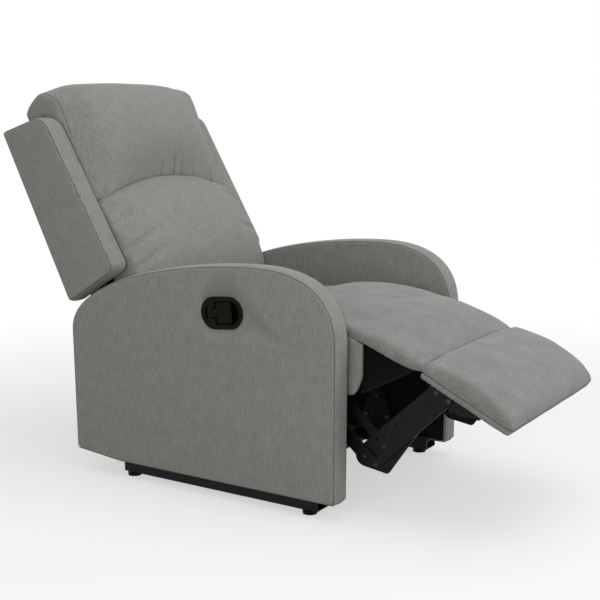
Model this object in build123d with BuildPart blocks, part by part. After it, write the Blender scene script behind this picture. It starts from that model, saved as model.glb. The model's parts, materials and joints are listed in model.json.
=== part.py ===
from build123d import *
import os
from math import cos, radians, sin, sqrt

# A recliner armchair with its footrest out, in millimetres. It faces -Y and Z is up.
# The origin is on the floor under the middle of the bounding box.
# Side -1 is the sitter's right, which holds the release handle.

# Arms
CHAIR_WIDTH = 676.0
ARM_WIDTH = 66.0
ARM_LENGTH = 806.0
ARM_FRONT = -303.5
ARM_BOTTOM = 41.0
ARM_HEEL_SETBACK = 655.0
ARM_HEEL_RISE = 14.0
ARM_TOP = 590.0
ARM_CROWN_SETBACK = 220.0
ARM_FRONT_BEND = 415.0
ARM_REAR_BEND = 382.0
ARM_FRONT_FULLNESS = 0.66
ARM_REAR_REACH = 220.0
ARM_REAR_RISE = 142.0
ARM_PADDING = 16.0
ARM_EDGE_RADIUS = 7.0

# Base under the arms
FOOT_HEIGHT = 16.0
FOOT_RADIUS = 18.0
FOOT_NECK_RADIUS = 9.0
FOOT_PAD_HEIGHT = 9.0
FRONT_FOOT_SETBACK = 92.0
REAR_FOOT_SETBACK = 638.0
BASE_RAIL_WIDTH = 52.0
BASE_RAIL_FRONT = 56.0
BASE_RAIL_REAR = 650.0
TUBE_WALL = 2.5
CROSS_RAIL_DEPTH = 40.0
CROSS_RAIL_HEIGHT = 22.0
FRONT_CROSS_SETBACK = 250.0
REAR_CROSS_SETBACK = 606.0
TIE_BOARD_INSET = 32.0
TIE_BOARD_THICKNESS = 18.0
TIE_BOARD_HEIGHT = 190.0

# Steel plates and links, stacked inward from each arm
PLATE = 4.0
PLATE_GAP = 1.0
ARM_GAP = 2.0
PIN_RADIUS = 5.0
PIN_CLEARANCE = 0.05
PIN_HEAD_RADIUS = 9.0
PIN_HEAD_HEIGHT = 2.5
BASE_LAYER = 0
SWING_LAYER = 1
SEAT_LAYER = 2
TILT_LAYER = 3
DRIVE_LAYER = 4
EXTENSION_LAYER = 5
GUIDE_LAYER = 6

# Seat frame and its swing links
SEAT_FRAME_BOTTOM = 336.0
SEAT_FRAME_HEIGHT = 64.0
SEAT_FRAME_FRONT = 2.0
SEAT_FRAME_REAR = 590.0
SEAT_RAIL_THICKNESS = 20.0
SIDE_RAIL_WIDTH = 33.0
SEAT_PLATE_FRONT = 40.0
SEAT_PLATE_DEPTH = 36.0
SWING_LENGTH = 110.0
SWING_PIVOT_DROP = 74.0
FRONT_SWING_SETBACK = 214.0
REAR_SWING_SETBACK = 560.0
SWING_WIDTH = 26.0
LOBE_RADIUS = 21.0
TOWER_HALF_FOOT = 62.0
WEBBING_WIDTH = 60.0
WEBBING_THICKNESS = 2.0
WEBBING_COUNT = 5
APRON_THICKNESS = 18.0
APRON_DROP = 41.0
APRON_RISE = 18.0
APRON_CLEARANCE = 5.0
APRON_ROUNDING = 8.0
FACING_REACH = 27.0
FACING_DROP = 39.0
FACING_THICKNESS = 13.0
FACING_ROUNDING = 18.0
SEAT_TUBE_RADIUS = 12.5
SEAT_TUBE_SETBACK = 470.0
SEAT_TUBE_DROP = 18.0

# Footrest linkage, with angles from straight back in the side view
DRIVE_PIVOT_SETBACK = 104.0
DRIVE_PIVOT_DROP = 65.0
DRIVE_LENGTH = 180.0
DRIVE_ANGLE = 222.0
DRIVE_WIDTH = 30.0
DRIVE_TUBE_RADIUS = 12.5
GUIDE_OFFSET_BACK = -48.0
GUIDE_OFFSET_UP = 30.0
GUIDE_WIDTH = 22.0
EXTENSION_LENGTH = 252.0
EXTENSION_ANGLE = 135.2
EXTENSION_LOW_RADIUS = 26.0
EXTENSION_HIGH_RADIUS = 20.0
EXTENSION_TOE_LENGTH = 60.0
EXTENSION_TOE_RADIUS = 11.0
EXTENSION_TUBE_PLACE = 160.0
EXTENSION_TUBE_RADIUS = 10.0
LIGHT_HOLE_RADIUS = 3.5
LIGHT_HOLE_PLACES = ((52.0, -12.0), (84.0, 8.0), (116.0, -8.0), (204.0, 6.0))
TILT_OFFSET = 35.0
TILT_ANGLE = 203.0
TILT_WIDTH = 20.0

# Footrest
FOOTREST_SLOPE = 26.0
FOOTREST_LENGTH = 232.0
FOOTREST_PIVOT_PLACE = 38.0
FOOTREST_PIVOT_DEPTH = 26.0
FOOTREST_BOARD_THICKNESS = 18.0
FOOTREST_BOARD_INSET = 2.0
FOOTREST_HEEL = 14.0
FOOTREST_MIDDLE = 22.0
FOOTREST_NOSE = 5.0
FOOTREST_CROWN = 14.0
BRACKET_START = 16.0
BRACKET_LENGTH = 136.0
BRACKET_DEPTH = 40.0
BRACKET_FLANGE = 16.0
BUMPER_LENGTH = 24.0
BUMPER_WIDTH = 16.0
BUMPER_DEPTH = 26.0

# Seat cushion and the pad that bridges to the footrest
SOFT_GAP = 8.0
SEAT_CUSHION_FRONT = 16.0
SEAT_CUSHION_REAR = 616.0
SEAT_CHANNEL_SETBACK = 301.0
SEAT_FRONT_HEIGHT = 69.0
SEAT_CROWN_HEIGHT = 88.0
SEAT_CHANNEL_HEIGHT = 64.0
SEAT_HOLLOW_HEIGHT = 54.0
SEAT_BACK_HEIGHT = 36.0
SEAT_EDGE_DROP = 14.0
PAD_GAP = 1.0
PAD_EDGE_THICKNESS = 18.0
PAD_CROWN = 20.0
PAD_BOW = 12.0

# Back, drawn on a plane that leans with it: depth rearward and height along the lean from the hinge
BACK_TILT = 27.0
BACK_PIVOT_SETBACK = 640.0
BACK_POST_WIDTH = 40.0
BACK_POST_FRONT = -10.0
BACK_POST_REAR = 30.0
BACK_POST_FOOT = 14.0
BACK_POST_TOP = 655.0
BACK_RAIL_REAR = 78.0
BACK_RAIL_HEIGHT = 36.0
BACK_RAIL_LOW = 206.0
BACK_RAIL_COUNT = 3
BACK_BOARD_THICKNESS = 10.0
BACK_BOARD_FOOT = 64.0
BACK_BOARD_DROP = 7.0
BACK_WEB_LOW = 180.0
BACK_WEB_MARGIN = 25.0
BACK_WEB_COUNT = 4
BACK_BRACKET_LENGTH = 170.0
WING_PANEL = 18.0
WING_FRONT_LOW = -90.0
WING_FRONT_HIGH = -64.0
WING_REAR_LOW = 100.0
WING_REAR_HIGH = 92.0
WING_FOOT_FRONT = 195.0
WING_FOOT_REAR = 178.0
WING_TOP_FRONT = 632.0
WING_TOP_REAR = 656.0
WING_TOP_RADIUS = 52.0
WING_CORNER_RADIUS = 24.0
WING_EDGE_RADIUS = 7.0
WING_INSET = 10.0

# Lumbar and head cushions
LUMBAR_SWEEP_RADIUS = 153.0
LUMBAR_LIP_DEPTH = 120.0
LUMBAR_CROWN_DEPTH = 150.0
LUMBAR_EDGE_DEPTH = 118.0
LUMBAR_LIP_DRAW = 12.0
CREASE_DEPTH = 98.0
CREASE_DRAW = 20.0
CREASE_HEIGHT = 428.0
CREASE_ARCH = 46.0
CREASE_GAP = 4.0
HEAD_RISE = 73.0
HEAD_EDGE_DROP = 10.0
HEAD_CROWN_DEPTH = 140.0
HEAD_FRONT_DRAW = 62.0
HEAD_CREST_DEPTH = 60.0
HEAD_BROW_DEPTH = 104.0
HEAD_BROW_DROP = 46.0
HEAD_REAR = 58.0
HEAD_REAR_DRAW = 18.0
HEAD_SHOULDER_DROP = 20.0
HEAD_GAP = 0.5

# Release handle
HANDLE_SETBACK = 315.0
HANDLE_HEIGHT = 472.0
HANDLE_TILT = 5.0
BEZEL_LENGTH = 123.0
BEZEL_HEIGHT = 79.0
BEZEL_THICKNESS = 3.0
CUP_MARGIN = 6.5
CUP_DEPTH = 34.0
CUP_CLEARANCE = 0.5
POCKET_FRONT = 50.0
POCKET_REAR = -20.0
POCKET_HEIGHT = 56.0
POCKET_DEPTH = 30.0
NECK_SLOT_REAR = -48.0
NECK_SLOT_DEPTH = 22.0
NECK_HEIGHT = 22.0
PADDLE_CLEARANCE = 2.5
PADDLE_FRONT = 26.0
PADDLE_THICKNESS = 5.0
PADDLE_RECESS = 3.0
PADDLE_HINGE_PLACE = -40.0
PADDLE_BARREL_RADIUS = 5.5
HANDLE_PIN_RADIUS = 2.5
HANDLE_PIN_OVERHANG = 12.0

# Fasteners
BOLT_HEAD_RADIUS = 8.0
BOLT_HEAD_HEIGHT = 5.0
BOLT_SPREAD = 34.0
BACK_BOLT_DEPTH = 10.0
BACK_BOLT_ENDS = (20.0, 60.0)
SCREW_HEAD_RADIUS = 5.0
SCREW_HEAD_HEIGHT = 2.5

SIDES = ((-1, "right"), (1, "left"))
BOTH = (-1, 1)
CUSHION_STATIONS = (-1.0, -0.6, 0.0, 0.6, 1.0)

os.makedirs("parts", exist_ok=True)

ARM_OUTER = CHAIR_WIDTH / 2
ARM_INNER = ARM_OUTER - ARM_WIDTH
SOFT_HALF = ARM_INNER - SOFT_GAP
SEAT_DECK = SEAT_FRAME_BOTTOM + SEAT_FRAME_HEIGHT
CUSHION_BASE = SEAT_DECK + WEBBING_THICKNESS
HOLE_RADIUS = PIN_RADIUS + PIN_CLEARANCE


def back_from_front(setback):
    """Y of a place measured rearward from the arms' front faces."""
    return ARM_FRONT + setback


def polar(start, length, angle):
    """A point of the side view, a length away from another one at an angle."""
    return (start[0] + length * cos(radians(angle)), start[1] + length * sin(radians(angle)))


def plate_inner(layer):
    """Distance from the middle plane to the inner face of one layer of plates."""
    return ARM_INNER - ARM_GAP - layer * (PLATE + PLATE_GAP) - PLATE


def side_plane(side, inner, thickness):
    """Side-view plane from which a slab of this thickness is drawn toward +X."""
    start = inner if side > 0 else -(inner + thickness)
    return Plane.YZ.offset(start)


# Pivot points of the side view, with the footrest out
DRIVE_PIVOT = (back_from_front(DRIVE_PIVOT_SETBACK), SEAT_FRAME_BOTTOM - DRIVE_PIVOT_DROP)
KNEE_PIVOT = polar(DRIVE_PIVOT, DRIVE_LENGTH, DRIVE_ANGLE)
GUIDE_PIVOT = (DRIVE_PIVOT[0] + GUIDE_OFFSET_BACK, DRIVE_PIVOT[1] + GUIDE_OFFSET_UP)
GUIDE_KNEE = (KNEE_PIVOT[0] + GUIDE_OFFSET_BACK, KNEE_PIVOT[1] + GUIDE_OFFSET_UP)
FOOTREST_PIVOT = polar(KNEE_PIVOT, EXTENSION_LENGTH, EXTENSION_ANGLE)
TILT_KNEE = polar(KNEE_PIVOT, TILT_OFFSET, TILT_ANGLE)
TILT_PIVOT = polar(FOOTREST_PIVOT, TILT_OFFSET, TILT_ANGLE)
SWING_TOP_HEIGHT = SEAT_FRAME_BOTTOM - SWING_PIVOT_DROP
SWING_TOPS = [(back_from_front(s), SWING_TOP_HEIGHT) for s in (FRONT_SWING_SETBACK, REAR_SWING_SETBACK)]
SWING_FEET = [(y, z - SWING_LENGTH) for y, z in SWING_TOPS]
BACK_PIVOT = (back_from_front(BACK_PIVOT_SETBACK), SEAT_FRAME_BOTTOM)

# The footrest's own axes: along it toward the toes, and out of its padded face
TOE = (cos(radians(180 + FOOTREST_SLOPE)), sin(radians(180 + FOOTREST_SLOPE)))
FACE = (TOE[1], -TOE[0])
FOOTREST_START = (
    FOOTREST_PIVOT[0] - FOOTREST_PIVOT_PLACE * TOE[0] + FOOTREST_PIVOT_DEPTH * FACE[0],
    FOOTREST_PIVOT[1] - FOOTREST_PIVOT_PLACE * TOE[1] + FOOTREST_PIVOT_DEPTH * FACE[1],
)


def footrest_plane(x):
    """Side-view plane of the footrest: its length is local X, reversed, and its face is local Y."""
    return Plane(origin=(x, *FOOTREST_START), x_dir=(0, -TOE[0], -TOE[1]), z_dir=(1, 0, 0))


def back_plane(x):
    """Side-view plane of the back: depth rearward is local X and height along the lean is local Y."""
    lean = radians(BACK_TILT)
    return Plane(origin=(x, *BACK_PIVOT), x_dir=(0, cos(lean), -sin(lean)), z_dir=(1, 0, 0))


def save(piece, label):
    """Label a finished piece and write it out."""
    piece.part.label = label
    export_step(piece.part, f"parts/{label}.step")


def rect(x_range, y_range, mode=Mode.ADD):
    """Rectangle between two pairs of coordinates of the sketch in hand."""
    middle = (sum(x_range) / 2, sum(y_range) / 2)
    with Locations(middle):
        Rectangle(x_range[1] - x_range[0], y_range[1] - y_range[0], mode=mode)


def shape(*points):
    """Straight-sided face through the given points of the sketch in hand."""
    with BuildLine() as outline:
        Polyline(*points, close=True)
    make_face(outline.edges())


def block(x_range, y_range, z_range):
    """Upright block between three pairs of coordinates."""
    with BuildPart() as piece:
        with BuildSketch(Plane.XY.offset(z_range[0])):
            rect(x_range, y_range)
        extrude(amount=z_range[1] - z_range[0])
    return piece


def mirrored(side, inner, outer):
    """Ordered X range of something between two distances from the middle plane."""
    return (inner, outer) if side > 0 else (-outer, -inner)


def tube_across(half_length, place, radius):
    """Round tube across the chair between the two sides."""
    with BuildPart() as piece:
        with BuildSketch(Plane.YZ.offset(-half_length)):
            with Locations(place):
                Circle(radius)
                Circle(radius - TUBE_WALL, mode=Mode.SUBTRACT)
        extrude(amount=2 * half_length)
    return piece


def link_plates(sides, layer, ends, radii, holes, light_holes=()):
    """Flat steel links on the given sides: the hull of round ends, with pin holes and any light holes."""
    with BuildPart() as piece:
        for side in sides:
            with BuildSketch(side_plane(side, plate_inner(layer), PLATE)):
                for end, radius in zip(ends, radii):
                    with Locations(end):
                        Circle(radius)
                make_hull()
                with Locations(*holes):
                    Circle(HOLE_RADIUS, mode=Mode.SUBTRACT)
                for place in light_holes:
                    with Locations(place):
                        Circle(LIGHT_HOLE_RADIUS, mode=Mode.SUBTRACT)
            extrude(amount=PLATE)
    return piece


def round_bar(side, place, inner, outer, radius):
    """Round bar across the chair between two distances from the middle plane."""
    middle = side * (inner + outer) / 2
    with Locations(Location((middle, *place), (0, 90, 0))):
        Cylinder(radius, outer - inner)


def pivot_pin(side, place, inner_layer, outer_layer, headed):
    """Pivot pin through two layers, with a shoulder across any layers between them."""
    inner = plate_inner(inner_layer)
    outer = plate_inner(outer_layer) + PLATE
    round_bar(side, place, inner, outer, PIN_RADIUS)
    if headed:
        round_bar(side, place, inner - PIN_HEAD_HEIGHT, inner, PIN_HEAD_RADIUS)
    if inner_layer - outer_layer > 1:
        low = inner + PLATE + PLATE_GAP / 2
        high = outer - PLATE - PLATE_GAP / 2
        round_bar(side, place, low, high, PIN_HEAD_RADIUS)


def pin_set(label, pins):
    """Group of pivot pins for both sides, one for each place and pair of layers."""
    with BuildPart() as piece:
        for side, _ in SIDES:
            for place, inner_layer, outer_layer, headed in pins:
                pivot_pin(side, place, inner_layer, outer_layer, headed)
    save(piece, label)


# Arms

def arm_outline(inset):
    """Side outline of an arm, drawn in from its front, top and rear."""
    front = ARM_FRONT + inset
    rear = ARM_FRONT + ARM_LENGTH - inset
    top = ARM_TOP - inset
    crown = back_from_front(ARM_CROWN_SETBACK)
    rise = ARM_FRONT_FULLNESS * (top - ARM_FRONT_BEND)
    reach = ARM_FRONT_FULLNESS * (crown - front)
    heel = back_from_front(ARM_HEEL_SETBACK)
    rear_low = ARM_BOTTOM + ARM_HEEL_RISE * (rear - heel) / (ARM_LENGTH - ARM_HEEL_SETBACK)
    with BuildLine() as outline:
        Line((rear, rear_low), (heel, ARM_BOTTOM))
        Line((heel, ARM_BOTTOM), (front, ARM_BOTTOM))
        Line((front, ARM_BOTTOM), (front, ARM_FRONT_BEND))
        Bezier((front, ARM_FRONT_BEND), (front, ARM_FRONT_BEND + rise), (crown - reach, top), (crown, top))
        Bezier((crown, top), (crown + ARM_REAR_REACH, top), (rear, ARM_REAR_BEND + ARM_REAR_RISE - inset),
               (rear, ARM_REAR_BEND))
        Line((rear, ARM_REAR_BEND), (rear, rear_low))
    make_face(outline.edges())


def handle_plane(depth):
    """Plane of the handle at a depth into the arm: local X runs forward and local Y up."""
    tilt = radians(HANDLE_TILT)
    origin = (-ARM_OUTER + depth, back_from_front(HANDLE_SETBACK), HANDLE_HEIGHT)
    return Plane(origin=origin, x_dir=(0, -cos(tilt), sin(tilt)), z_dir=(-1, 0, 0))


def cut_handle_opening(clearance):
    """Cut the place of the bezel and its cup out of the piece in hand."""
    with BuildSketch(handle_plane(0)) as rim:
        SlotOverall(BEZEL_LENGTH + 2 * clearance, BEZEL_HEIGHT + 2 * clearance)
    extrude(rim.sketch, amount=-BEZEL_THICKNESS, mode=Mode.SUBTRACT)
    with BuildSketch(handle_plane(0)) as well:
        margin = CUP_MARGIN - clearance
        SlotOverall(BEZEL_LENGTH - 2 * margin, BEZEL_HEIGHT - 2 * margin)
    extrude(well.sketch, amount=-CUP_DEPTH - clearance, mode=Mode.SUBTRACT)


for side, hand in SIDES:
    with BuildPart() as arm_frame:
        with BuildSketch(side_plane(side, ARM_INNER + ARM_PADDING, ARM_WIDTH - 2 * ARM_PADDING)):
            arm_outline(ARM_PADDING)
        extrude(amount=ARM_WIDTH - 2 * ARM_PADDING)
        if side < 0:
            cut_handle_opening(CUP_CLEARANCE)
    save(arm_frame, f"arm_frame_{hand}")

    with BuildPart() as arm_cover:
        with BuildSketch(side_plane(side, ARM_INNER, ARM_WIDTH)):
            arm_outline(0)
        extrude(amount=ARM_WIDTH)
        rims = arm_cover.faces().filter_by(Axis.X).edges()
        fillet(rims.filter_by(lambda e: e.center().Z > ARM_BOTTOM + ARM_EDGE_RADIUS), ARM_EDGE_RADIUS)
        with BuildSketch(side_plane(side, ARM_INNER + ARM_PADDING, ARM_WIDTH - 2 * ARM_PADDING)):
            arm_outline(ARM_PADDING)
        extrude(amount=ARM_WIDTH - 2 * ARM_PADDING, mode=Mode.SUBTRACT)
        if side < 0:
            cut_handle_opening(CUP_CLEARANCE)
    save(arm_cover, f"arm_cover_{hand}")


# Release handle in the right arm
HINGE_DEPTH = PADDLE_BARREL_RADIUS + CUP_CLEARANCE
NECK_SLOT_HALF = NECK_HEIGHT / 2 + PADDLE_CLEARANCE
HANDLE_PIN_HALF = NECK_SLOT_HALF + HANDLE_PIN_OVERHANG


def hinge_bar(radius, half_length, mode=Mode.ADD):
    """Round bar along the handle's hinge line."""
    face = handle_plane(HINGE_DEPTH)
    start = face.from_local_coords((PADDLE_HINGE_PLACE, -half_length, 0))
    with BuildSketch(Plane(origin=start, z_dir=face.y_dir)) as end:
        Circle(radius)
    extrude(end.sketch, amount=2 * half_length, mode=mode)


with BuildPart() as handle_bezel:
    with BuildSketch(handle_plane(0)):
        SlotOverall(BEZEL_LENGTH, BEZEL_HEIGHT)
    extrude(amount=-BEZEL_THICKNESS)
    with BuildSketch(handle_plane(BEZEL_THICKNESS)):
        SlotOverall(BEZEL_LENGTH - 2 * CUP_MARGIN, BEZEL_HEIGHT - 2 * CUP_MARGIN)
    extrude(amount=BEZEL_THICKNESS - CUP_DEPTH)
    with BuildSketch(handle_plane(0)):
        rect((POCKET_REAR, POCKET_FRONT), (-POCKET_HEIGHT / 2, POCKET_HEIGHT / 2))
        SlotOverall(BEZEL_LENGTH - 3 * CUP_MARGIN, BEZEL_HEIGHT - 3 * CUP_MARGIN, mode=Mode.INTERSECT)
    extrude(amount=-POCKET_DEPTH, mode=Mode.SUBTRACT)
    with BuildSketch(handle_plane(0)):
        rect((NECK_SLOT_REAR, POCKET_REAR), (-NECK_SLOT_HALF, NECK_SLOT_HALF))
    extrude(amount=-NECK_SLOT_DEPTH, mode=Mode.SUBTRACT)
    hinge_bar(HANDLE_PIN_RADIUS + PIN_CLEARANCE, HANDLE_PIN_HALF, Mode.SUBTRACT)
save(handle_bezel, "handle_bezel")

with BuildPart() as handle_paddle:
    with BuildSketch(handle_plane(PADDLE_RECESS)):
        half_height = POCKET_HEIGHT / 2 - PADDLE_CLEARANCE
        rect((POCKET_REAR + PADDLE_CLEARANCE, PADDLE_FRONT), (-half_height, half_height))
        fillet(vertices(), 2 * PADDLE_CLEARANCE)
        rect((PADDLE_HINGE_PLACE, POCKET_REAR + 2 * PADDLE_CLEARANCE), (-NECK_HEIGHT / 2, NECK_HEIGHT / 2))
    extrude(amount=-PADDLE_THICKNESS)
    hinge_bar(PADDLE_BARREL_RADIUS, NECK_HEIGHT / 2)
    hinge_bar(HANDLE_PIN_RADIUS + PIN_CLEARANCE, NECK_HEIGHT, Mode.SUBTRACT)
save(handle_paddle, "handle_paddle")

with BuildPart() as handle_pin:
    hinge_bar(HANDLE_PIN_RADIUS, HANDLE_PIN_HALF)
save(handle_pin, "handle_pin")

with BuildPart() as handle_screws:
    with BuildSketch(handle_plane(POCKET_DEPTH)):
        with GridLocations(0, POCKET_HEIGHT / 2, 1, 2):
            Circle(SCREW_HEAD_RADIUS)
    extrude(amount=SCREW_HEAD_HEIGHT)
save(handle_screws, "handle_screws")


# Base: rails, cross rails, feet, side plates and the rear tie board
BASE_PLATE_OUTER = plate_inner(BASE_LAYER) + PLATE
BASE_STRIP_TOP = ARM_BOTTOM + SWING_WIDTH / 2
FOOT_OFFSET = BASE_PLATE_OUTER + BASE_RAIL_WIDTH / 2
BOLT_HEIGHT = (BASE_STRIP_TOP + SWING_FEET[0][1]) / 2 - BOLT_HEAD_RADIUS
BOLT_PLACES = [(y + step, BOLT_HEIGHT) for y, _ in SWING_FEET for step in (-BOLT_SPREAD, BOLT_SPREAD)]
BOLT_SHANK_RADIUS = BOLT_HEAD_RADIUS / 2


def tower(place, foot_height):
    """Tapered lobe of a plate from a level edge to a pivot."""
    y, z = place
    shape((y - TOWER_HALF_FOOT, foot_height), (y + TOWER_HALF_FOOT, foot_height),
          (y + SWING_WIDTH, z), (y - SWING_WIDTH, z))
    with Locations(place):
        Circle(SWING_WIDTH)


for side, hand in SIDES:
    rail_x = mirrored(side, BASE_PLATE_OUTER, BASE_PLATE_OUTER + BASE_RAIL_WIDTH)
    with BuildPart() as base_rail:
        with BuildSketch(Plane.XZ.offset(-back_from_front(BASE_RAIL_FRONT))):
            rect(rail_x, (FOOT_HEIGHT, ARM_BOTTOM))
            inner_x = (rail_x[0] + TUBE_WALL, rail_x[1] - TUBE_WALL)
            rect(inner_x, (FOOT_HEIGHT + TUBE_WALL, ARM_BOTTOM - TUBE_WALL), Mode.SUBTRACT)
        extrude(amount=BASE_RAIL_FRONT - BASE_RAIL_REAR)
    save(base_rail, f"base_rail_{hand}")

with BuildPart() as side_plates:
    for side, _ in SIDES:
        with BuildSketch(side_plane(side, plate_inner(BASE_LAYER), PLATE)):
            span = (back_from_front(BASE_RAIL_FRONT), back_from_front(BASE_RAIL_REAR))
            rect(span, (FOOT_HEIGHT, BASE_STRIP_TOP))
            for place in SWING_FEET:
                tower(place, BASE_STRIP_TOP)
            with Locations(*SWING_FEET):
                Circle(HOLE_RADIUS, mode=Mode.SUBTRACT)
            with Locations(*BOLT_PLACES):
                Circle(BOLT_SHANK_RADIUS + PIN_CLEARANCE, mode=Mode.SUBTRACT)
        extrude(amount=PLATE)
save(side_plates, "base_side_plates")

with BuildPart() as cross_rails:
    for setback in (FRONT_CROSS_SETBACK, REAR_CROSS_SETBACK):
        with BuildSketch(Plane.YZ.offset(-plate_inner(BASE_LAYER))):
            start = back_from_front(setback)
            rect((start, start + CROSS_RAIL_DEPTH), (FOOT_HEIGHT, FOOT_HEIGHT + CROSS_RAIL_HEIGHT))
            rect((start + TUBE_WALL, start + CROSS_RAIL_DEPTH - TUBE_WALL),
                 (FOOT_HEIGHT + TUBE_WALL, FOOT_HEIGHT + CROSS_RAIL_HEIGHT - TUBE_WALL), Mode.SUBTRACT)
        extrude(amount=2 * plate_inner(BASE_LAYER))
save(cross_rails, "base_cross_rails")

with BuildPart() as feet:
    for side, _ in SIDES:
        for setback in (FRONT_FOOT_SETBACK, REAR_FOOT_SETBACK):
            with BuildSketch(Plane((side * FOOT_OFFSET, back_from_front(setback), 0))):
                Circle(FOOT_RADIUS)
            extrude(amount=FOOT_PAD_HEIGHT)
            with BuildSketch(Plane((side * FOOT_OFFSET, back_from_front(setback), FOOT_PAD_HEIGHT))):
                Circle(FOOT_NECK_RADIUS)
            extrude(amount=FOOT_HEIGHT - FOOT_PAD_HEIGHT)
save(feet, "feet")

with BuildPart() as arm_bolts:
    face = plate_inner(BASE_LAYER)
    for side, _ in SIDES:
        for place in BOLT_PLACES:
            round_bar(side, place, face, face + PLATE + ARM_GAP, BOLT_SHANK_RADIUS)
            with BuildSketch(side_plane(side, face - BOLT_HEAD_HEIGHT, BOLT_HEAD_HEIGHT)):
                with Locations(place):
                    RegularPolygon(BOLT_HEAD_RADIUS, 6)
            extrude(amount=BOLT_HEAD_HEIGHT)
save(arm_bolts, "arm_bolts")

tie_start = back_from_front(ARM_LENGTH - TIE_BOARD_INSET)
tie_board = block(
    (-ARM_INNER, ARM_INNER),
    (tie_start, tie_start + TIE_BOARD_THICKNESS),
    (BASE_STRIP_TOP, BASE_STRIP_TOP + TIE_BOARD_HEIGHT),
)
save(tie_board, "rear_tie_board")

pin_set("base_pins", [(place, SWING_LAYER, BASE_LAYER, False) for place in SWING_FEET])


# Seat frame on its swing links
SEAT_RAIL_OUTER = plate_inner(SEAT_LAYER)
SEAT_RAIL_INNER = SEAT_RAIL_OUTER - SIDE_RAIL_WIDTH
SEAT_FRONT_Y = back_from_front(SEAT_FRAME_FRONT)
SEAT_REAR_Y = back_from_front(SEAT_FRAME_REAR)
SEAT_STRIP_LOW = SEAT_FRAME_BOTTOM - SEAT_PLATE_DEPTH
BACK_LAYER = TILT_LAYER

for label, top, foot in zip(("front", "rear"), SWING_TOPS, SWING_FEET):
    swing_links = link_plates(BOTH, SWING_LAYER, (top, foot), (SWING_WIDTH / 2,) * 2, (top, foot))
    save(swing_links, f"swing_links_{label}")

for side, hand in SIDES:
    with BuildPart() as seat_plate:
        with BuildSketch(side_plane(side, plate_inner(SEAT_LAYER), PLATE)):
            rect((back_from_front(SEAT_PLATE_FRONT), SEAT_REAR_Y), (SEAT_STRIP_LOW, SEAT_FRAME_BOTTOM))
            for place in (DRIVE_PIVOT, *SWING_TOPS):
                tower(place, SEAT_STRIP_LOW)
            with Locations(GUIDE_PIVOT, BACK_PIVOT):
                Circle(LOBE_RADIUS)
            shape((SEAT_REAR_Y - LOBE_RADIUS, SEAT_STRIP_LOW), (BACK_PIVOT[0], BACK_PIVOT[1] - LOBE_RADIUS),
                  (BACK_PIVOT[0], BACK_PIVOT[1] + LOBE_RADIUS),
                  (SEAT_REAR_Y - LOBE_RADIUS, SEAT_FRAME_BOTTOM))
            with Locations(DRIVE_PIVOT, GUIDE_PIVOT, BACK_PIVOT, *SWING_TOPS):
                Circle(HOLE_RADIUS, mode=Mode.SUBTRACT)
        extrude(amount=PLATE)
        with BuildSketch(Plane.XY.offset(SEAT_FRAME_BOTTOM - PLATE)):
            rect(mirrored(side, SEAT_RAIL_INNER, SEAT_RAIL_OUTER + PLATE),
                 (back_from_front(SEAT_PLATE_FRONT), SEAT_REAR_Y))
        extrude(amount=PLATE)
    save(seat_plate, f"seat_plate_{hand}")

with BuildPart() as side_rails:
    with BuildSketch(Plane.XY.offset(SEAT_FRAME_BOTTOM)):
        for side, _ in SIDES:
            rect(mirrored(side, SEAT_RAIL_INNER, SEAT_RAIL_OUTER),
                 (SEAT_FRONT_Y + SEAT_RAIL_THICKNESS, SEAT_REAR_Y))
    extrude(amount=SEAT_FRAME_HEIGHT)
save(side_rails, "seat_side_rails")

front_rail = block(
    (-SEAT_RAIL_OUTER, SEAT_RAIL_OUTER),
    (SEAT_FRONT_Y, SEAT_FRONT_Y + SEAT_RAIL_THICKNESS),
    (SEAT_FRAME_BOTTOM, SEAT_DECK),
)
save(front_rail, "seat_front_rail")

rear_rail = block(
    (-SEAT_RAIL_INNER, SEAT_RAIL_INNER),
    (SEAT_REAR_Y - SEAT_RAIL_THICKNESS, SEAT_REAR_Y),
    (SEAT_FRAME_BOTTOM, SEAT_DECK),
)
save(rear_rail, "seat_rear_rail")

with BuildPart() as seat_webbing:
    with BuildSketch(Plane.XY.offset(SEAT_DECK)):
        with Locations((0, (SEAT_FRONT_Y + SEAT_REAR_Y) / 2)):
            with GridLocations(2 * SEAT_RAIL_INNER / WEBBING_COUNT, 0, WEBBING_COUNT, 1):
                Rectangle(WEBBING_WIDTH, SEAT_REAR_Y - SEAT_FRONT_Y)
    extrude(amount=WEBBING_THICKNESS)
save(seat_webbing, "seat_webbing")

APRON_HALF = plate_inner(GUIDE_LAYER) - PIN_HEAD_HEIGHT - APRON_CLEARANCE
with BuildPart() as seat_apron:
    with BuildSketch(Plane.YZ.offset(-APRON_HALF)):
        rect((SEAT_FRONT_Y - APRON_THICKNESS, SEAT_FRONT_Y),
             (SEAT_FRAME_BOTTOM - APRON_DROP, SEAT_DECK + APRON_RISE))
    extrude(amount=2 * APRON_HALF)
    front_face = seat_apron.faces().sort_by(Axis.Y)[0]
    fillet(front_face.edges(), APRON_ROUNDING)
save(seat_apron, "seat_apron")

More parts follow.
